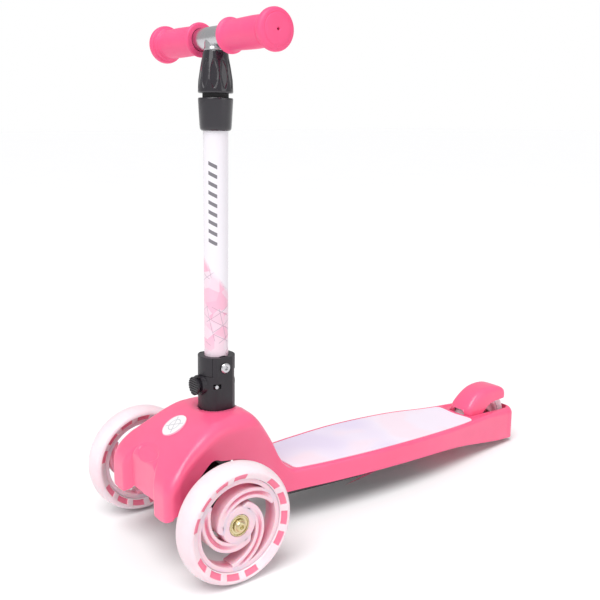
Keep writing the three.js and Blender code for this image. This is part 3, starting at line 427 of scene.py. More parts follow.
# top of the body without the pad's recess: the crown line lowered a little sideways, a shallow
# dish round the stem's foot and a dished floor round the pedal
def skinHeight(x, y):
    share = np.minimum(np.abs(x) / halfWidth(y), 1)
    z = crown(y) - 4 * (1 - smooth(50, 110, y)) * share ** 2
    fromStem = np.hypot(x, y - (pivot[1] - axleY) + 1)
    z = z - 1.3 * (1 - smooth(20, 27, fromStem)) - 3 * (1 - smooth(18.6, 19.8, fromStem))
    edge = halfWidth(y) - np.abs(x)
    z = z - 1.6 * smooth(6, 10, edge) * smooth(padRear + 2, padRear + 9,
                                               y) * (1 - smooth(tailEnd - 9, tailEnd - 5, y))
    return z


# Half of the plan outline with, for each point, the inner point that its ring line runs to: the
# spine X = 0 as far as the wheel slot, then the slot's own rim.
def bodyColumns():
    half, flat = bodySet["halfHood"], bodySet["lobeFlat"]
    inner = bodySet["lobeInner"]
    frontX = np.concatenate([np.linspace(0, inner, 24), np.linspace(inner, flat, 26)[1:]])
    front = np.stack([frontX, frontFace(frontX)], -1)
    turn = np.linspace(0, np.pi / 2, 13)[1:]
    corner = np.stack([flat + (half - flat) * np.sin(turn),
                       bodySet["lobeFront"] + bodySet["lobeCorner"] * (1 - np.cos(turn))], -1)
    rearCorner = 11
    sideEnd = tailEnd - rearCorner
    sideStart = corner[-1, 1]
    y = np.linspace(sideStart, sideEnd, int((sideEnd - sideStart) / bodySet["columnStep"]))[1:]
    fine = np.concatenate([bodySet["padFront"] + np.linspace(-1.5, 1.5, 9),
                           padRear + np.linspace(-2.6, 2.6, 15)])
    y = np.unique(np.concatenate([y, fine]))
    side = np.stack([halfWidth(y), y], -1)
    roundTurn = np.linspace(0, np.pi / 2, 10)[1:]
    back = np.stack([tailHalf - rearCorner * (1 - np.cos(roundTurn)),
                     sideEnd + rearCorner * np.sin(roundTurn)], -1)
    endX = np.linspace(back[-1, 0], 0, 12)[1:]
    end = np.stack([endX, np.full(len(endX), tailEnd)], -1)
    outer = np.concatenate([front, corner, side, back, end])
    # the inner path, as (control, x, y) along the same outline
    r = 9
    arc = np.linspace(0, np.pi / 2, 8)
    rimFront = np.stack([slotHalf - r + r * np.sin(arc), slotFront + r - r * np.cos(arc)], -1)
    rimRear = np.stack([slotHalf - r + r * np.cos(arc), slotRear - r + r * np.sin(arc)], -1)
    spineFront = -4
    innerPath = np.concatenate([[[0, spineFront], [0, slotFront]], rimFront, rimRear,
                                [[0, slotRear]]])
    control = np.concatenate([[spineFront, slotFront - 12],
                              np.linspace(slotFront - 4, slotFront + 12, len(rimFront)),
                              np.linspace(slotRear - 12, slotRear - 3, len(rimRear)),
                              [tailEnd + 10]])
    along = np.concatenate([np.full(len(front) + len(corner), spineFront), y,
                            sideEnd + (tailEnd - 4 - sideEnd) * np.linspace(0, 1, len(back)),
                            tailEnd - 4 + 14 * np.linspace(0, 1, len(end) + 1)[1:]])
    target = np.stack([np.interp(along, control, innerPath[:, 0]),
                       np.interp(along, control, innerPath[:, 1])], -1)
    mirror = np.array([-1, 1])
    return (np.concatenate([outer, outer[-2:0:-1] * mirror]),
            np.concatenate([target, target[-2:0:-1] * mirror]))


# Rows of the body's skin, from the skirt's lower edge, up the wall, over the rounded edge and
# across the top to the inner line. inset moves the skin inwards.
def bodySkin(inset, recess):
    outline, target = bodyColumns()
    ahead, behind = np.roll(outline, -1, 0), np.roll(outline, 1, 0)
    along = (ahead - behind) / np.linalg.norm(ahead - behind, axis=1)[:, None]
    outline = outline + inset * np.stack([-along[:, 1], along[:, 0]], -1)
    x, y = outline.T
    reach = target - outline
    length = np.hypot(*reach.T)
    radius = np.maximum(edgeRadius(x, y) - inset, 1)
    lowEdge = skirtBottom(x, y)
    wallTop = skinHeight(x, y) - inset - radius
    which = 0 if inset == 0 else 1
    rows = []
    for share in np.linspace(0, 1, bodySet["skirtRows"][which])[:-1]:
        z = lowEdge + (wallTop - lowEdge) * share
        rows.append(np.stack([x, y, z], -1))
    for turn in np.linspace(0, np.pi / 2, bodySet["edgeRows"][which]):
        step = np.minimum(radius * (1 - np.cos(turn)) / length, 0.9)
        p = outline + reach * step[:, None]
        z = skinHeight(*p.T) - inset - radius * (1 - np.sin(turn))
        rows.append(np.column_stack([p, z]))
    lips = bodySet["lipSteps"] if inset == 0 else ()
    shares = np.linspace(0, 1, bodySet["topRows"][which])[1:]
    start = radius / length
    for lip in lips:
        p = outline + reach * np.minimum(start + lip / length, 0.95)[:, None]
        rows.append(np.column_stack([p, skinHeight(*p.T) - inset]))
    start = np.minimum(start + (lips[-1] if lips else 0) / length, 0.95)
    for share in shares:
        p = outline + reach * (start + (1 - start) * share)[:, None]
        rows.append(np.column_stack([p, skinHeight(*p.T) - inset]))
    rows = np.stack(rows)
    if recess:
        inside = padInside(rows[..., 0], rows[..., 1])
        onTop = np.arange(len(rows))[:, None] > 20   # past the skirt and the edge's first rows
        rows[..., 2] -= np.where(onTop, bodySet["padDepth"] * smooth(-0.25, 0.25, inside), 0)
    return rows


# The outer and the inner skin, joined along the skirt's edge and round the wheel slot.
def makeBody():
    outer, inner = bodySkin(0, True), bodySkin(bodySet["wall"], False)
    # a shallow lens over the wall between the lobes, deepest just inside its upper rim
    x, y = outer[..., 0], outer[..., 1]
    lens = np.clip(1 - (x / 20) ** 2 - ((y + 38.2) / 6.8) ** 2, 0, 1)
    outer[..., 2] -= 2.4 * smooth(0, 0.3, lens) * (1 - 0.35 * smooth(-36, -43, y))
    rows = np.concatenate([outer, inner[::-1]])
    faces = gridFaces(len(rows), rows.shape[1], True, True)
    count = rows.shape[1]
    strip = slice((len(outer) - 1) * count, len(outer) * count)
    target = bodyColumns()[1]
    onRim = target[:, 1] > slotFront - 0.001
    keep = np.ones(len(faces), bool)
    keep[strip] = onRim & np.roll(onRim, -1)
    return rows, faces[keep]


bodyRows, bodyFaces = makeBody()
bodyRows = bodyRows + [0, axleY, 0]
makePiece("bodyShell", bodyRows, bodyFaces, pinkShell, "deck", ["body_shell"],
          sharp=42)
print("body shell ready", len(bodyFaces))


# deck pad
# Pale lilac rubber with faint pastel patches and a fine anti-slip stipple.
def padFinish():
    finish, tree, shader, place = shaderParts("padLilac")
    where = place.outputs["Object"]
    patch = spread(tree, noiseOf(tree, where, 9, 1), 0.42, 0.58, 0, 1)
    warm = mixColor(tree, patch, (0.74, 0.66, 0.82), (0.83, 0.75, 0.85))
    blush = spread(tree, noiseOf(tree, where, 17, 1), 0.5, 0.62, 0, 0.7)
    tree.links.new(mixColor(tree, blush, warm, (0.86, 0.7, 0.78)), shader.inputs["Base Color"])
    shader.inputs["Roughness"].default_value = 0.62
    bumpBy(tree, shader, noiseOf(tree, where, 900, 2), 0.2)
    return finish


# Rings from the pad's outline to its centre line, on the deck's own height, edge rounded.
def makePad():
    inset, cols = bodySet["padGap"], 260
    front, rear = bodySet["padFront"] + inset, padRear - inset
    y = np.linspace(front, rear, cols)
    r = bodySet["padCorner"]
    endSteps = np.linspace(0, 1, 14)
    # half outline: front edge from the middle, corner, side, corner, rear edge
    sideX = halfWidth(y) - bodySet["padInset"] - inset
    turn = np.linspace(0, np.pi / 2, 12)
    inner = (y > front + r) & (y < rear - r - 1.2)
    wFront = np.interp(front + r, y, sideX)
    wRear = np.interp(rear - r, y, sideX)
    edgeFront = np.stack([endSteps * (wFront - r), np.full(14, front)], -1)
    cornerFront = np.stack([wFront - r + r * np.sin(turn), front + r - r * np.cos(turn)], -1)
    cornerRear = np.stack([wRear - r + r * np.cos(turn), rear - r + r * np.sin(turn)], -1)
    edgeRear = np.stack([(1 - endSteps) * (wRear - r), np.full(14, rear)], -1)
    half = np.concatenate([edgeFront[:-1], cornerFront, np.stack([sideX, y], -1)[inner], cornerRear,
                           edgeRear[1:]])
    wave = 1.2 * np.cos(half[:, 0] / 36 * np.pi * 1.5) * smooth(rear - 14, rear - 2, half[:, 1])
    half = half - np.stack([0 * wave, wave], -1)
    loop = np.concatenate([half, half[-2:0:-1] * [-1, 1]])
    target = np.stack([0 * loop[:, 0], np.clip(loop[:, 1], front + 26, rear - 22)], -1)
    reach = target - loop
    length = np.hypot(*reach.T)
    rows = []
    proud, edge = 0.1, 0.7
    rows.append(np.column_stack([target, crown(target[:, 1]) - 1.3]))
    rows.append(np.column_stack([loop, crown(loop[:, 1]) - 1.3]))
    for a in np.linspace(0, np.pi / 2, 5):
        p = loop + reach * (edge * (1 - np.cos(a)) / length)[:, None]
        rows.append(np.column_stack([p, skinHeight(*p.T) + proud - edge * (1 - np.sin(a))]))
    for share in np.linspace(0, 1, 28)[1:]:
        p = loop + reach * (edge / length + (1 - edge / length) * share)[:, None]
        rows.append(np.column_stack([p, skinHeight(*p.T) + proud]))
    rows = np.stack(rows) + [0, axleY, 0]
    return rows, gridFaces(len(rows), rows.shape[1], False, True)


padRows, padFaces = makePad()
makePiece("deckPad", padRows, padFaces, padFinish(), "deck", ["deck_pad"])
print("deck pad ready")


# badge: a thin disc that follows the hood
# White disc with a pale pink rim and thin grey rings, read from the distance to its middle.
def badgeFinish(middle):
    finish, tree, shader, place = shaderParts("badgeWhite")
    mapping = tree.nodes.new("ShaderNodeMapping")
    mapping.vector_type = "TEXTURE"
    mapping.inputs["Location"].default_value = tuple(middle / 1000)
    tree.links.new(place.outputs["Object"], mapping.inputs["Vector"])
    split = tree.nodes.new("ShaderNodeSeparateXYZ")
    tree.links.new(mapping.outputs[0], split.inputs[0])
    x, y = split.outputs[0], split.outputs[1]
    far = calc(tree, "SQRT", calc(tree, "ADD", calc(tree, "MULTIPLY", x, x),
                                  calc(tree, "MULTIPLY", y, y)))
    line = calc(tree, "ABSOLUTE", calc(tree, "SUBTRACT", far, 0.0062))
    slant = calc(tree, "ABSOLUTE",
                 calc(tree, "ADD", calc(tree, "MULTIPLY", x, 0.8), calc(tree, "MULTIPLY", y, 0.6)))
    other = calc(tree, "ABSOLUTE",
                 calc(tree, "SUBTRACT", calc(tree, "MULTIPLY", x, 0.5),
                      calc(tree, "MULTIPLY", y, 0.86)))
    nearest = calc(tree, "MINIMUM", line, calc(tree, "MINIMUM", slant, other))
    mark = calc(tree, "MULTIPLY", calc(tree, "LESS_THAN", nearest, 0.00035),
                calc(tree, "LESS_THAN", far, 0.0105))
    inked = mixColor(tree, calc(tree, "MULTIPLY", mark, 0.7), (0.8, 0.78, 0.8), (0.3, 0.3, 0.33))
    rim = calc(tree, "GREATER_THAN", far, 0.0122)
    tree.links.new(mixColor(tree, rim, inked, (0.82, 0.34, 0.46)), shader.inputs["Base Color"])
    shader.inputs["Roughness"].default_value = 0.28
    shader.inputs["Coat Weight"].default_value = 0.5
    bumpBy(tree, shader, noiseOf(tree, place.outputs["Object"], 600, 2), 0.03)
    return finish


def makeBadge():
    low, high = boxOf("badge")
    middle = (low + high) / 2
    radius = (high[0] - low[0]) / 2
    tilt = np.array([0, high[1] - low[1], 0])[1] / (2 * radius)
    across = rounded([(0, -1), (radius, -1), (radius, 0.9, 0.6), (0, 0.95)], 6)
    across = np.concatenate([across[:-1], np.linspace(across[-2], [0, 0.95], 12)[1:]])
    a = np.linspace(0, 2 * np.pi, 96, endpoint=False)
    r = across[:, :1]
    x = r * np.cos(a)
    y = middle[1] - axleY + r * np.sin(a) * tilt
    z = skinHeight(x, y) + across[:, 1:]
    rows = np.stack([x, y + axleY, z], -1)
    makePiece("badgeDisc", rows, gridFaces(len(across), 96, False, True), badgeFinish(middle),
              "deck",
              ["badge"])


makeBadge()


# brake pedal
pedalSet = {"rows": 90, "across": 61, "wall": 2.4, "frontRise": 5.5, "noseRun": 8, "heelRun": 14}


# A loft along Y: each section is a rounded arch, half width and top from the side view.
def makePedal():
    low, high = boxOf("brake_pedal")
    y0, y1 = low[1] - axleY, high[1] - axleY
    half0 = high[0]
    wheelY, wheelTop = rearMiddle[1] - axleY, 2 * rearMiddle[2]
    peak = wheelTop + 4.4
    topLine = through([
        (y0, tail + pedalSet["frontRise"]), (wheelY - 31, peak - 14.2), (wheelY - 21, peak - 6.3),
        (wheelY - 10, peak - 1.6), (wheelY, peak), (wheelY + 12, peak + 0.2),
        (wheelY + 22, peak - 1.4),
        (wheelY + 32, peak - 5.6), (y1, peak - 12.5)])
    pinZ = jointOf["brake_press"]["pos_m"][2] * 1000
    pinY = jointOf["brake_press"]["pos_m"][1] * 1000 - axleY
    skirt = through([(y0, pinZ - 5), (pinY + 5, pinZ - 5), (wheelY - 10, tail - 0.5),
                     (wheelY - 2, tail + 6),
                     (wheelY + 8, tail + 9.7), (y1, tail + 11.5)])

    def skin(inset):
        t = np.linspace(0, np.pi, pedalSet["rows"])
        y = (y0 + inset) + (y1 - y0 - 2 * inset) * (0.5 - 0.5 * np.cos(t))
        nose = np.minimum((y - y0 - inset) / pedalSet["noseRun"], 1)
        heel = np.minimum((y1 - inset - y) / pedalSet["heelRun"], 1)
        width = np.sqrt(np.maximum(1 - (1 - nose) ** 2.5,
                                   0.35)) * np.sqrt(np.maximum(1 - (1 - heel) ** 3, 0.4))
        half = (half0 - inset) * width
        topHere = topLine(y) - inset
        edge = np.minimum(skirt(y), topHere - 4)
        a = np.linspace(0, np.pi, pedalSet["across"])[None, :]
        x = half[:, None] * np.sign(np.cos(a)) * np.abs(np.cos(a)) ** 0.4
        z = edge[:, None] + (topHere - edge)[:, None] * np.sin(a) ** 0.45
        return np.stack([x, np.broadcast_to(y[:, None], x.shape), z], -1)

    outer, inner = skin(0), skin(pedalSet["wall"])
    # section loop: over the outside, back along the inside
    rows = np.concatenate([outer, inner[:, ::-1]], 1)
    count = rows.shape[1]
    faces = gridFaces(len(rows), count, False, True)
    # the two ends close between the outer and the inner arch
    k = np.arange(pedalSet["across"] - 1)
    ends = []
    for row in (0, len(rows) - 1):
        base = row * count
        ends.append(np.stack([base + k, base + k + 1, base + count - 2 - k, base + count - 1 - k],
                             -1))
    ends[0] = ends[0][:, ::-1]
    return rows + [0, axleY, 0], np.concatenate([faces, *ends])


pedalRows, pedalFaces = makePedal()
makePiece("brakePedal", pedalRows, pedalFaces, pinkShell, "pedal", ["brake_pedal"],
          sharp=50)
print("pedal ready")

# tyres and cores
tyreSet = {"segments": 480, "innerR": 46.3, "crown": 7, "windows": 15, "windowIn": 47.2,
           "windowOut": 52.6,
           "windowShare": 0.33, "windowDeep": 0.9, "faceFall": 3.6}


# A ring with a rounded tread whose side faces fall in a slope to the core. Pockets are pressed
# into the slope: an angular block wave times a radial one.
def makeTyre(side):
    t = tyreSet
    low, high = boxOf(f"tyre_{side}")
    half, outerR = (high[0] - low[0]) / 2, (high[2] - low[2]) / 2
    arc = np.linspace(0, np.pi, 41)
    tread = np.stack([outerR - t["crown"] + t["crown"] * np.sin(arc), half * np.cos(arc)], -1)
    faceR = np.linspace(t["innerR"] + 0.5, outerR - t["crown"], 34)[:-1]
    rise = half - t["faceFall"] * smooth(outerR - t["crown"] + 0.5, t["innerR"] - 1, faceR)
    edge = np.array([[t["innerR"], 6], [t["innerR"], rise[0] - 0.8],
                     [t["innerR"] + 0.15, rise[0] - 0.3]])
    upper = np.concatenate([edge, np.stack([faceR, rise], -1)])
    profile = np.concatenate([upper, tread, upper[::-1] * [1, -1]])
    points, faces = lathe(profile, t["segments"], closed=True)
    outwards = 1 if side == "left" else -1
    y, z = points[..., 0], points[..., 1]
    radial = np.hypot(y, z)
    # a window stands at the top of the wheel and the others follow it round
    angle = (np.arctan2(z, y) / (2 * np.pi) - 0.25) * t["windows"]
    phase = np.abs(angle - np.round(angle))
    share = t["windowShare"]
    window = (smooth(share + 0.02, share - 0.02, phase) * smooth(t["windowIn"] - 0.3,
        t["windowIn"] + 0.3, radial)
              * smooth(t["windowOut"] + 0.3, t["windowOut"] - 0.3, radial))
    window = window * (np.abs(points[..., 2]) > half - 4.5)
    # places without a pocket: the valve mark and the light modules
    number = np.round(angle) % t["windows"]
    window = window * (number != 4) * (number != 9) * (number != 14)
    points[..., 2] -= np.sign(points[..., 2]) * t["windowDeep"] * window
    makePiece(f"tyre_{side}_visual", alongX(points, wheelMiddle[side], outwards), faces, paleTyre,
              f"wheel_{side}", [f"tyre_{side}"], values={"window": window})


coreSet = {"rimIn": 41.5, "rimOut": 46, "half": 8.7, "hubR": 19, "arms": 3, "armHalf": 5,
           "channel": 1.5,
           "channelDeep": 3.4, "windStart": 224, "windTurn": 208, "windRun": 27, "windPower": 0.4}


# Pale pink plastic with painted shade: a deeper pink where a surface faces into the wheel's
# pockets.
def coreFinish():
    finish, tree, shader, place = shaderParts("coreShade")
    where = place.outputs["Object"]
    pocketShade = tree.nodes.new("ShaderNodeAttribute")
    pocketShade.attribute_name = "pocketShade"
    color = mixColor(tree, pocketShade.outputs["Fac"], (0.86, 0.6, 0.67), (0.86, 0.24, 0.37))
    haze = spread(tree, noiseOf(tree, where, 40), 0.35, 0.65, 0, 0.12)
    tree.links.new(mixColor(tree, haze, color, (0.88, 0.7, 0.76)), shader.inputs["Base Color"])
    tree.links.new(spread(tree, noiseOf(tree, where, 90), 0.3, 0.7, 0.32, 0.44),
                   shader.inputs["Roughness"])
    shader.inputs["Subsurface Weight"].default_value = 0.25
    shader.inputs["Subsurface Scale"].default_value = 0.005
    bumpBy(tree, shader, noiseOf(tree, where, 900, 2), 0.05)
    return finish


coreShade = coreFinish()


# Rim ring, hub disc and three winding arms. An arm's middle line stands at the angle windStart -
# windTurn * share ** windPower, where share runs from the hub to the rim; across it two ribs
# stand beside a channel.
def makeCore(side):
    c, half = coreSet, coreSet["half"]
    rim, rimFaces = lathe(rounded([
        (c["rimIn"], 0), (c["rimIn"], -half, 0.9), (c["rimOut"], -half, 0.5),
        (c["rimOut"], half, 0.5),
        (c["rimIn"], half, 0.9)], 4), 180, True)
    seat = 11.1
    hub, hubFaces = lathe(rounded([
        (seat, -half, 0.4), (c["hubR"] - 1, -half, 1), (c["hubR"], -half + 2.5, 1),
        (c["hubR"] + 0.6, 0),
        (c["hubR"], half - 2.5, 1), (c["hubR"] - 1, half, 1), (seat, half, 0.4)], 4), 120, True)
    radius = np.linspace(c["hubR"] - 2.5, c["rimIn"] + 2.2, 110)
    share = np.maximum((radius - c["hubR"] + 1) / c["windRun"], 0.02)
    wind = np.radians(c["windStart"] - c["windTurn"] * share ** c["windPower"])
    middle = np.stack([radius * np.cos(wind), radius * np.sin(wind)], -1)
    along = np.gradient(middle, axis=0)
    along /= np.linalg.norm(along, axis=1)[:, None]
    across = np.stack([-along[:, 1], along[:, 0]], -1)
    s = np.concatenate([np.linspace(-1, 1, 65), np.linspace(1, -1, 33)]) * c["armHalf"]
    face = np.concatenate([np.ones(65), -np.ones(33)])
    channel = smooth(c["channel"] + 0.7, c["channel"] - 0.5, np.abs(s))
    edge = 0.9 * smooth(c["armHalf"] - 1.2, c["armHalf"], np.abs(s)) ** 2
    height = face * (half - 0.2 - c["channelDeep"] * channel - edge)
    fade = smooth(0, 8, radius - c["hubR"]) * smooth(c["rimIn"] + 1, c["rimIn"] - 5, radius)
    height = height[None, :] + face[None, :] * (c["channelDeep"] * channel)[None, :] * (1 - fade)[:,
        None]
    plan = middle[:, None, :] + across[:, None, :] * s[None, :, None]
    arm = np.concatenate([plan, height[..., None]], -1)
    ends = arm[[0, -1]].mean(1, keepdims=True) + 0 * arm[:1]
    arm = np.concatenate([ends[:1], arm, ends[1:]])
    # painted shade on the arms: deeper pink down each channel and on the arms' back faces
    armShade = (0.9 * channel[None, :] * fade[:, None] + 0.8 * (face < 0)[None, :])
    armShade = np.concatenate([armShade[:1], armShade, armShade[-1:]])
    parts = [(rim, rimFaces), (hub, hubFaces)]
    # painted shade on the rim and the hub: deeper pink towards the middle of their width, inside
    # the wheel
    pocketShades = [(1 - np.abs(rim[..., 2]) / half).ravel() * 0.9,
              (1 - np.abs(hub[..., 2]) / half).ravel() * 0.8]
    for turn in np.arange(c["arms"]) * 2 * np.pi / c["arms"]:
        spun = np.stack([arm[..., 0] * np.cos(turn) - arm[..., 1] * np.sin(turn),
                         arm[..., 0] * np.sin(turn) + arm[..., 1] * np.cos(turn), arm[..., 2]], -1)
        parts.append((spun, gridFaces(*spun.shape[:2], False, True)))
        pocketShades.append(armShade.ravel())
    points, faces = joined(*parts)
    outwards = 1 if side == "left" else -1
    makePiece(f"core_{side}_visual", alongX(points, wheelMiddle[side], outwards), faces, coreShade,
              f"wheel_{side}", [f"core_{side}"],
              values={"pocketShade": np.concatenate(pocketShades)}, sharp=50)


for side in ("left", "right"):
    makeTyre(side)
    makeCore(side)
print("front wheels ready")


def makeRearWheel():
    low, high = boxOf("tyre_rear")
    half, outerR = (high[0] - low[0]) / 2, (high[2] - low[2]) / 2
    arc = np.linspace(0, np.pi, 25)
    tread = np.stack([outerR - 5 + 5 * np.sin(arc), half * np.cos(arc)], -1)
    inner = rounded([(outerR - 11.7, -half + 1, 0.8), (outerR - 11.7, half - 1, 0.8)], 3)
    points, faces = lathe(np.concatenate([tread, inner]), 160, True)
    makePiece("rearTyre", alongX(points, rearMiddle), faces, paleTyre, "rear_wheel", ["tyre_rear"])
    coreHalf = half - 2
    profile = rounded([(11.2, -coreHalf, 0.4), (15, -coreHalf, 0.6), (16, -coreHalf + 4, 1),
                       (outerR - 17, -coreHalf + 4, 1),
                       (outerR - 15, -coreHalf, 0.6), (outerR - 12, -coreHalf, 0.4),
                       (outerR - 12, coreHalf, 0.4),
                       (outerR - 15, coreHalf, 0.6), (outerR - 17, coreHalf - 4, 1),
                       (16, coreHalf - 4, 1), (15, coreHalf, 0.6),
                       (11.2, coreHalf, 0.4)], 3)
    points, faces = lathe(profile, 120, True)
    makePiece("rearCore", alongX(points, rearMiddle), faces, pinkCore, "rear_wheel", ["core_rear"])


makeRearWheel()


# bearings and wheel bolts
# A turned ring with two sunk grooves between its races and its shield.
def makeBearing(side, end):
    low, high = boxOf(f"bearing_{end}_{side}")
    near, far = sorted((abs(low[0]), abs(high[0])), reverse=end == "outer")
    step = 1 if near > far else -1
    outer = (high[2] - low[2]) / 2
    rings = [(4.5, far), (4.5, near, 0.3), (6.2, near, 0.2), (6.35, near - step * 0.9),
             (6.8, near - step * 0.9),
             (6.95, near - step * 0.35, 0.2), (8.9, near - step * 0.35, 0.2),
             (9.05, near - step * 0.9),
             (9.4, near - step * 0.9), (9.55, near, 0.2), (outer, near, 0.3), (outer, far)]
    points, faces = lathe(rounded(rings, 3), 96, True)
    middle = np.array([0, wheelMiddle[side][1], wheelMiddle[side][2]])
    makePiece(f"bearing_{end}_{side}_visual", alongX(points, middle, 1 if side == "left" else -1),
              faces, yellowZinc,
              f"wheel_{side}", [f"bearing_{end}_{side}"], sharp=30)


for side in ("left", "right"):
    for end in ("outer", "inner"):
        makeBearing(side, end)


def makeBolt(side):
    low, high = boxOf(f"wheel_bolt_{side}")
    outwards = 1 if side == "left" else -1
    tip = max(abs(low[0]), abs(high[0]))
    inner = min(abs(low[0]), abs(high[0]))
    headR = (high[2] - low[2]) / 2
    a = np.linspace(0, 2 * np.pi, 96, endpoint=False)
    hexR = 2.4 * np.cos(np.pi / 6) / np.cos((a + np.pi / 6) % (np.pi / 3) - np.pi / 6)
    profile = rounded([(0, inner), (3.9, inner), (3.9, tip - 3.8), (headR, tip - 3.8, 0.3),
                       (headR, tip - 2.7, 0.5),
                       (headR - 1, tip - 2.4, 0.3), (headR - 1.6, tip - 1.0, 0.7), (3.6, tip, 0.7),
                       (2.9, tip - 0.05)], 4)
    r = np.repeat(profile[:, :1], 96, 1)
    h = np.repeat(profile[:, 1:], 96, 1)
    r = np.concatenate([r, hexR[None], hexR[None], 0 * hexR[None]])
    h = np.concatenate([h, np.full((1, 96), tip - 0.35), np.full((1, 96), tip - 2.3),
                        np.full((1, 96), tip - 2.7)])
    points = np.stack([r * np.cos(a), r * np.sin(a), h], -1)
    middle = np.array([0, wheelMiddle[side][1], wheelMiddle[side][2]])
    makePiece(f"wheelBolt_{side}", alongX(points, middle, outwards),
              gridFaces(len(r), 96, False, True), yellowZinc,
              f"knuckle_{side}", [f"wheel_bolt_{side}"])


for side in ("left", "right"):
    makeBolt(side)


# stem
stemSet = {
    "tubeR": 12.5, "tubeInner": 11.1, "tubeBottom": 7, "tubeTop": 267, "printFacing": -37,
    "barHeight": 326, "barR": 11, "barHalf": 101, "gripBore": 11.3, "gripFlange": 19,
}


# White gloss paint; a pink wash in uneven facets climbs from the foot with a slanting upper edge,
# thin grey lines cross over it in a triangle pattern, and a row of slanting dark bars stands above.
def stemFinish():
    finish, tree, shader, place = shaderParts("stemPaint")
    uv = place.outputs["UV"]
    split = tree.nodes.new("ShaderNodeSeparateXYZ")
    tree.links.new(uv, split.inputs[0])
    around, height = split.outputs[0], split.outputs[1]   # millimetres round the tube and up it
    slant = calc(tree, "ADD", height, calc(tree, "MULTIPLY", around, 1.1))
    cloudy = calc(tree, "MULTIPLY",
                  calc(tree, "SUBTRACT", noiseOf(tree, place.outputs["Object"], 60), 0.5), 6)
    wash = spread(tree, calc(tree, "ADD", slant, cloudy), 92, 99, 1, 0)
    fade = spread(tree, height, 6, 40, 0.45, 1)
    facets = tree.nodes.new("ShaderNodeTexVoronoi")
    facets.inputs["Scale"].default_value = 0.085
    tree.links.new(uv, facets.inputs["Vector"])
    patch = tree.nodes.new("ShaderNodeSeparateColor")
    tree.links.new(facets.outputs["Color"], patch.inputs[0])
    amount = calc(tree, "MULTIPLY", calc(tree, "MULTIPLY", wash, fade),
                  spread(tree, patch.outputs[0], 0, 1, 0.22, 0.8))
    washed = mixColor(tree, amount, (0.8, 0.77, 0.82), (0.86, 0.26, 0.44))
    lines = None
    for dx, dy in ((1, 0.25), (-0.55, 0.85), (0.5, 0.95)):
        across = calc(tree, "ADD", calc(tree, "MULTIPLY", around, dx / 13),
                      calc(tree, "MULTIPLY", height, dy / 13))
        apart = calc(tree, "ABSOLUTE", calc(tree, "SUBTRACT", calc(tree, "FRACT", across), 0.5))
        line = calc(tree, "LESS_THAN", apart, 0.026)
        lines = line if lines is None else calc(tree, "MAXIMUM", lines, line)
    some = calc(tree, "GREATER_THAN", noiseOf(tree, place.outputs["Object"], 48, 1), 0.5)
    drawn = calc(tree, "MULTIPLY", calc(tree, "MULTIPLY", lines, some),
                 calc(tree, "MULTIPLY", wash, 0.6))
    color = mixColor(tree, drawn, washed, (0.3, 0.27, 0.34))
    # a row of slanting dark bars, each one cut off square at its two ends
    leaning = calc(tree, "ADD", calc(tree, "DIVIDE", height, 9.5),
                   calc(tree, "MULTIPLY", around, 0.05))
    step = calc(tree, "ABSOLUTE", calc(tree, "SUBTRACT", calc(tree, "FRACT", leaning), 0.5))
    bar = calc(tree, "LESS_THAN", step, 0.2)
    middle = calc(tree, "ABSOLUTE", calc(tree, "SUBTRACT", around, -2))
    wide = calc(tree, "LESS_THAN", middle, 4.6)
    inBand = calc(tree, "MULTIPLY", calc(tree, "GREATER_THAN", height, 126),
                  calc(tree, "LESS_THAN", height, 210))
    mark = calc(tree, "MULTIPLY", calc(tree, "MULTIPLY", calc(tree, "MULTIPLY", bar, wide), inBand),
                0.85)
    tree.links.new(mixColor(tree, mark, color, (0.07, 0.065, 0.08)), shader.inputs["Base Color"])
    shader.inputs["Roughness"].default_value = 0.22
    shader.inputs["Coat Weight"].default_value = 0.5
    bumpBy(tree, shader, noiseOf(tree, place.outputs["Object"], 300, 3), 0.03)
    return finish


def makeStem():
    inner, outer = stemSet["tubeInner"], stemSet["tubeR"]
    bottom, topHere = stemSet["tubeBottom"], stemSet["tubeTop"]
    profile = np.concatenate([[[inner, bottom]], [[outer, bottom]],
                              np.linspace([outer, bottom + 0.1], [outer, topHere - 0.3], 40),
                              [[outer - 0.3, topHere]], [[inner, topHere]]])
    segments = 128
    a = np.linspace(0, 2 * np.pi, segments + 1)
    facing = math.radians(stemSet["printFacing"])   # the printed side, towards the near front
    turn = a + facing + np.pi
    r = np.repeat(profile[:, :1], segments + 1, 1)
    h = np.repeat(profile[:, 1:], segments + 1, 1)
    points = np.stack([r * np.cos(turn), r * np.sin(turn), h], -1)
    uv = np.stack([(a - np.pi) * outer + 0 * h, h], -1)
    makePiece("stemTube", onStem(points), gridFaces(len(profile), segments + 1, True), stemFinish(),
              "stem",
              ["outer_tube"], uv=uv)


makeStem()


def onStemLathe(name, profile, finish, body, stands, segments=128, wobble=None,
                closed=True):
    points, faces = lathe(profile, segments, closed, wobble)
    return makePiece(name, onStem(points), faces, finish, body, stands)


onStemLathe("lowerCollar", rounded([(12.8, 238.2), (13.9, 238.2, 0.3), (15.4, 239.5, 1.2),
                                    (15.8, 241.7, 2), (17.2, 268.6, 1),
                                    (16.8, 269.6, 0.4), (12.8, 269.6)], 6), glossBlack, "stem",
                                    ["lower_collar"])
onStemLathe("colletRing", rounded([(11.05, 269.9), (12.9, 269.9, 0.2), (12.9, 288, 0.3),
                                   (11.7, 291, 0.3), (11.05, 291)], 3),
            darkRubber, "stem", ["collet"])


# lens-shaped hollows round the nut: deepest in the middle of each, none at its ends
def nutFlutes(a, h, r):
    count, lensLow, lensHigh = 10, 278, 306
    along = np.clip((h - lensLow) / (lensHigh - lensLow), 0, 1)
    width = 0.42 * np.sqrt(np.clip(np.sin(np.pi * along), 0, 1))
    turn = a / (2 * np.pi) * count
    away = np.abs(turn - np.round(turn))
    lens = np.clip(1 - (away / np.maximum(width, 1e-6)) ** 2, 0, 1)
    return -1.0 * lens ** 0.6 * (r > 12.4) * (along > 0) * (along < 1)


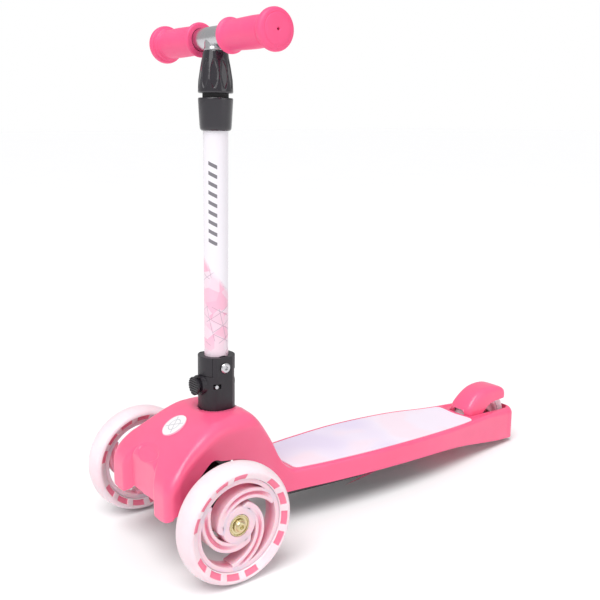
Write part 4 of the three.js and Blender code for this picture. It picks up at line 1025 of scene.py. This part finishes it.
nutSide = np.stack([12.5 + np.interp(np.linspace(0, 1, 40), [0, 0.3, 0.6, 0.85, 1],
                                     [4.75, 4.2, 2.4, 0.6, -0.2]),
                    275 + 38 * np.linspace(0, 1, 40)], -1)
nutProfile = np.concatenate([[[13.3, 274]], [[16.4, 274]], [[16.9, 274.3]], nutSide,
                             [[11.9, 313.8]], [[11.5, 314]],
                             [[11.1, 314]], [[11.1, 292]], [[13.3, 292]]])
onStemLathe("twistNut", nutProfile, glossBlack, "nut", ["twist_nut"], 240, nutFlutes)


# The T piece: an upright tube and a cross tube, each closed at its ends, in one mesh.
def makeBar():
    upright, uprightFaces = lathe(rounded([(9.2, 70), (10.75, 70), (10.75, stemSet["barHeight"]),
                                           (9.2, stemSet["barHeight"])], 2), 96, True)
    half, barR, up = stemSet["barHalf"], stemSet["barR"], stemSet["barHeight"]
    cross, crossFaces = lathe(rounded([(9.4, -half), (barR, -half, 0.4), (barR, half, 0.4),
                                       (9.4, half)], 3), 96, True)
    crossPlaced = alongX(cross, np.array([0, 0, up]))
    bead, beadFaces = lathe(rounded([(10.5, 313.5), (11.6, 314.6, 0.8), (10.9, 317, 0.8),
                                     (10.5, 318)], 3), 96, True)
    points, faces = joined((upright, uprightFaces), (crossPlaced, crossFaces), (bead, beadFaces))
    makePiece("handlebarTee", onStem(points), faces, plainSteel, "bar", ["t_bar"])


makeBar()


# Turned rubber grip: a hollow-faced end flange with two steps, fine ribs, a swelling barrel and a
# smaller flange at the inner end.
def makeGrip(side):
    bore, flange = stemSet["gripBore"], stemSet["gripFlange"]
    sign = 1 if side == "left" else -1
    corners = [(bore, 26), (flange - 3.6, 26, 0.8), (flange - 2.2, 27.5, 0.8),
               (flange - 2.2, 29.5, 1.2),
               (flange - 4.4, 31.5, 1.5), (14.1, 35, 3), (14.5, 55, 8), (14.8, 72, 8),
               (14.2, 85, 1)]
    ribs = [(14.2 + 0.5 * (i % 2), 86.2 + 0.75 * i, 0.3) for i in range(7)]
    head = [(flange - 2.8, 92, 0.8), (flange - 2.6, 95, 0.5), (flange - 1, 95.6, 0.8),
            (flange, 97.5, 1),
            (flange, 101, 1.2), (flange - 1.4, 103.2, 1), (flange - 4, 104.2, 0.8),
            (flange - 4.6, 103.8, 0.4),
            (flange - 5.2, 104.4, 0.4), (flange - 8, 105, 2), (2, 105, 0.5), (1.2, 104.4, 0.3),
            (1.2, 101.6), (bore, 101.6)]
    points, faces = lathe(rounded(corners + ribs + head, 5), 128, True)
    placed = alongX(points, np.array([0, 0, stemSet["barHeight"]]), sign)
    makePiece(f"grip_{side}_visual", onStem(placed), faces, pinkGrip, "bar", [f"grip_{side}"])


for side in ("left", "right"):
    makeGrip(side)
print("stem and handlebar ready")


# machined and moulded parts that keep the frame's own shape, with eased edges
# A copy of a CAD node's mesh, its doubles merged, with a small bevel on its sharp edges.
def easedCopy(name, node, finish, body, width):
    mesh = frame["nodes"][node].data.copy()
    mesh.name = name
    mesh.materials.clear()
    mesh.materials.append(finish)
    work = bmesh.new()
    work.from_mesh(mesh)
    bmesh.ops.remove_doubles(work, verts=work.verts, dist=0.00001)
    bmesh.ops.dissolve_limit(work, angle_limit=math.radians(1), verts=work.verts, edges=work.edges)
    work.to_mesh(mesh)
    work.free()
    mesh.polygons.foreach_set("use_smooth", np.ones(len(mesh.polygons), bool))
    mesh.set_sharp_from_angle(angle=math.radians(32))
    piece = bpy.data.objects.new(name, mesh)
    bpy.context.scene.collection.objects.link(piece)
    ease = piece.modifiers.new("ease", "BEVEL")
    ease.width = width / 1000
    ease.segments = 2
    ease.limit_method = "ANGLE"
    ease.angle_limit = math.radians(32)
    ease.harden_normals = True
    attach(piece, body)
    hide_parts(node)
    return piece


easedCopy("hingeBase", "hinge_base", blackNylon, "deck", 0.8)
easedCopy("hingeHead", "hinge_head", blackNylon, "stem", 0.8)
easedCopy("truckBeam", "truck", blackNylon, "deck", 0.8)
easedCopy("knuckleLeft", "knuckle_left", blackNylon, "knuckle_left", 0.5)
easedCopy("knuckleRight", "knuckle_right", blackNylon, "knuckle_right", 0.5)
easedCopy("tieRod", "tie_rod", plainSteel, "tie", 0.4)
easedCopy("basePlate", "base_plate", blackNylon, "deck", 0.4)
easedCopy("lockButton", "lock_button", blackNylon, "button", 0.25)
easedCopy("pivotBolt", "pivot_bolt", plainSteel, "deck", 0.15)
easedCopy("pivotNut", "pivot_nut", plainSteel, "deck", 0.15)
easedCopy("lockPin", "lock_pin", plainSteel, "button", 0.15)

# the remaining CAD nodes show as they are, each with its finish
shownFinish = {
    "bare_steel": plainSteel, "black_nylon": blackNylon, "led_grey": ledTint,
    "yellow_zinc": yellowZinc,
    "black_rubber": darkRubber, "core_pink": pinkCore, "body_pink": pinkShell,
}
slotOf = {entry["node"]: entry["material_slot"] for entry in frame["record"]["subparts"]}
for node, piece in frame["nodes"].items():
    finish = shownFinish.get(slotOf[node])
    if finish is None:
        continue
    piece.data.materials.clear()
    piece.data.materials.append(finish)
print("frame nodes dressed")

# floor, light and camera
floorMesh = bpy.data.meshes.new("floor")
floorMesh.from_pydata([(-30, -30, -0.0005), (30, -30, -0.0005), (30, 30, -0.0005),
                       (-30, 30, -0.0005)], [], [(0, 1, 2, 3)])
floor = bpy.data.objects.new("floor", floorMesh)
bpy.context.scene.collection.objects.link(floor)
floorFinish, floorTree, floorShader, floorPlace = shaderParts("studioFloor")
floorShade = noiseOf(floorTree, floorPlace.outputs["Object"], 3)
floorColor = mixColor(floorTree, floorShade, (0.9, 0.9, 0.905), (0.92, 0.92, 0.925))
floorTree.links.new(floorColor, floorShader.inputs["Base Color"])
floorShader.inputs["Roughness"].default_value = 0.8
floorShader.inputs["Specular IOR Level"].default_value = 0.1
floorMesh.materials.append(floorFinish)

# the camera sees a white backdrop, while the scene itself is lit by a dimmer sky
world = bpy.data.worlds.new("studio")
bpy.context.scene.world = world
world.use_nodes = True
sky = world.node_tree
seen = sky.nodes.new("ShaderNodeLightPath")
strength = sky.nodes.new("ShaderNodeMapRange")
strength.inputs["To Min"].default_value = 0.55
strength.inputs["To Max"].default_value = 1
sky.links.new(seen.outputs["Is Camera Ray"], strength.inputs["Value"])
backdrop = sky.nodes["Background"]
backdrop.inputs["Color"].default_value = (1, 1, 1, 1)
sky.links.new(strength.outputs[0], backdrop.inputs["Strength"])


def softLight(name, place, size, power, aim):
    data = bpy.data.lights.new(name, "AREA")
    data.shape = "SQUARE"
    data.size = size
    data.energy = power
    lamp = bpy.data.objects.new(name, data)
    lamp.location = place
    lamp.rotation_euler = (Vector(aim) - Vector(place)).to_track_quat("-Z", "Y").to_euler()
    bpy.context.scene.collection.objects.link(lamp)


sunData = bpy.data.lights.new("sun", "SUN")
sunData.energy = 2
sunData.angle = math.radians(40)
sun = bpy.data.objects.new("sun", sunData)
sun.rotation_euler = (math.radians(20), math.radians(18), 0)
bpy.context.scene.collection.objects.link(sun)
softLight("keyLight", (0.5, -1.6, 1.5), 1.1, 8, (0, 0, 0.2))
softLight("fillLight", (1.9, 0.7, 1.0), 1.2, 5, (0, 0, 0.2))

cameraSet = {"place": (718.33, -389.61, 434.36), "aim": (0, 152.46, 239.08), "lens": 50,
             "sensor": 36}
cameraData = bpy.data.cameras.new("camera")
cameraData.lens = cameraSet["lens"]
cameraData.sensor_width = cameraSet["sensor"]
camera = bpy.data.objects.new("camera", cameraData)
place = Vector(cameraSet["place"]) / 1000 + Vector((0, axleY / 1000, 0))
aim = Vector(cameraSet["aim"]) / 1000 + Vector((0, axleY / 1000, 0))
camera.location = place
camera.rotation_euler = (aim - place).to_track_quat("-Z", "Y").to_euler()
bpy.context.scene.collection.objects.link(camera)
bpy.context.scene.camera = camera
bpy.context.scene.view_settings.view_transform = "Standard"
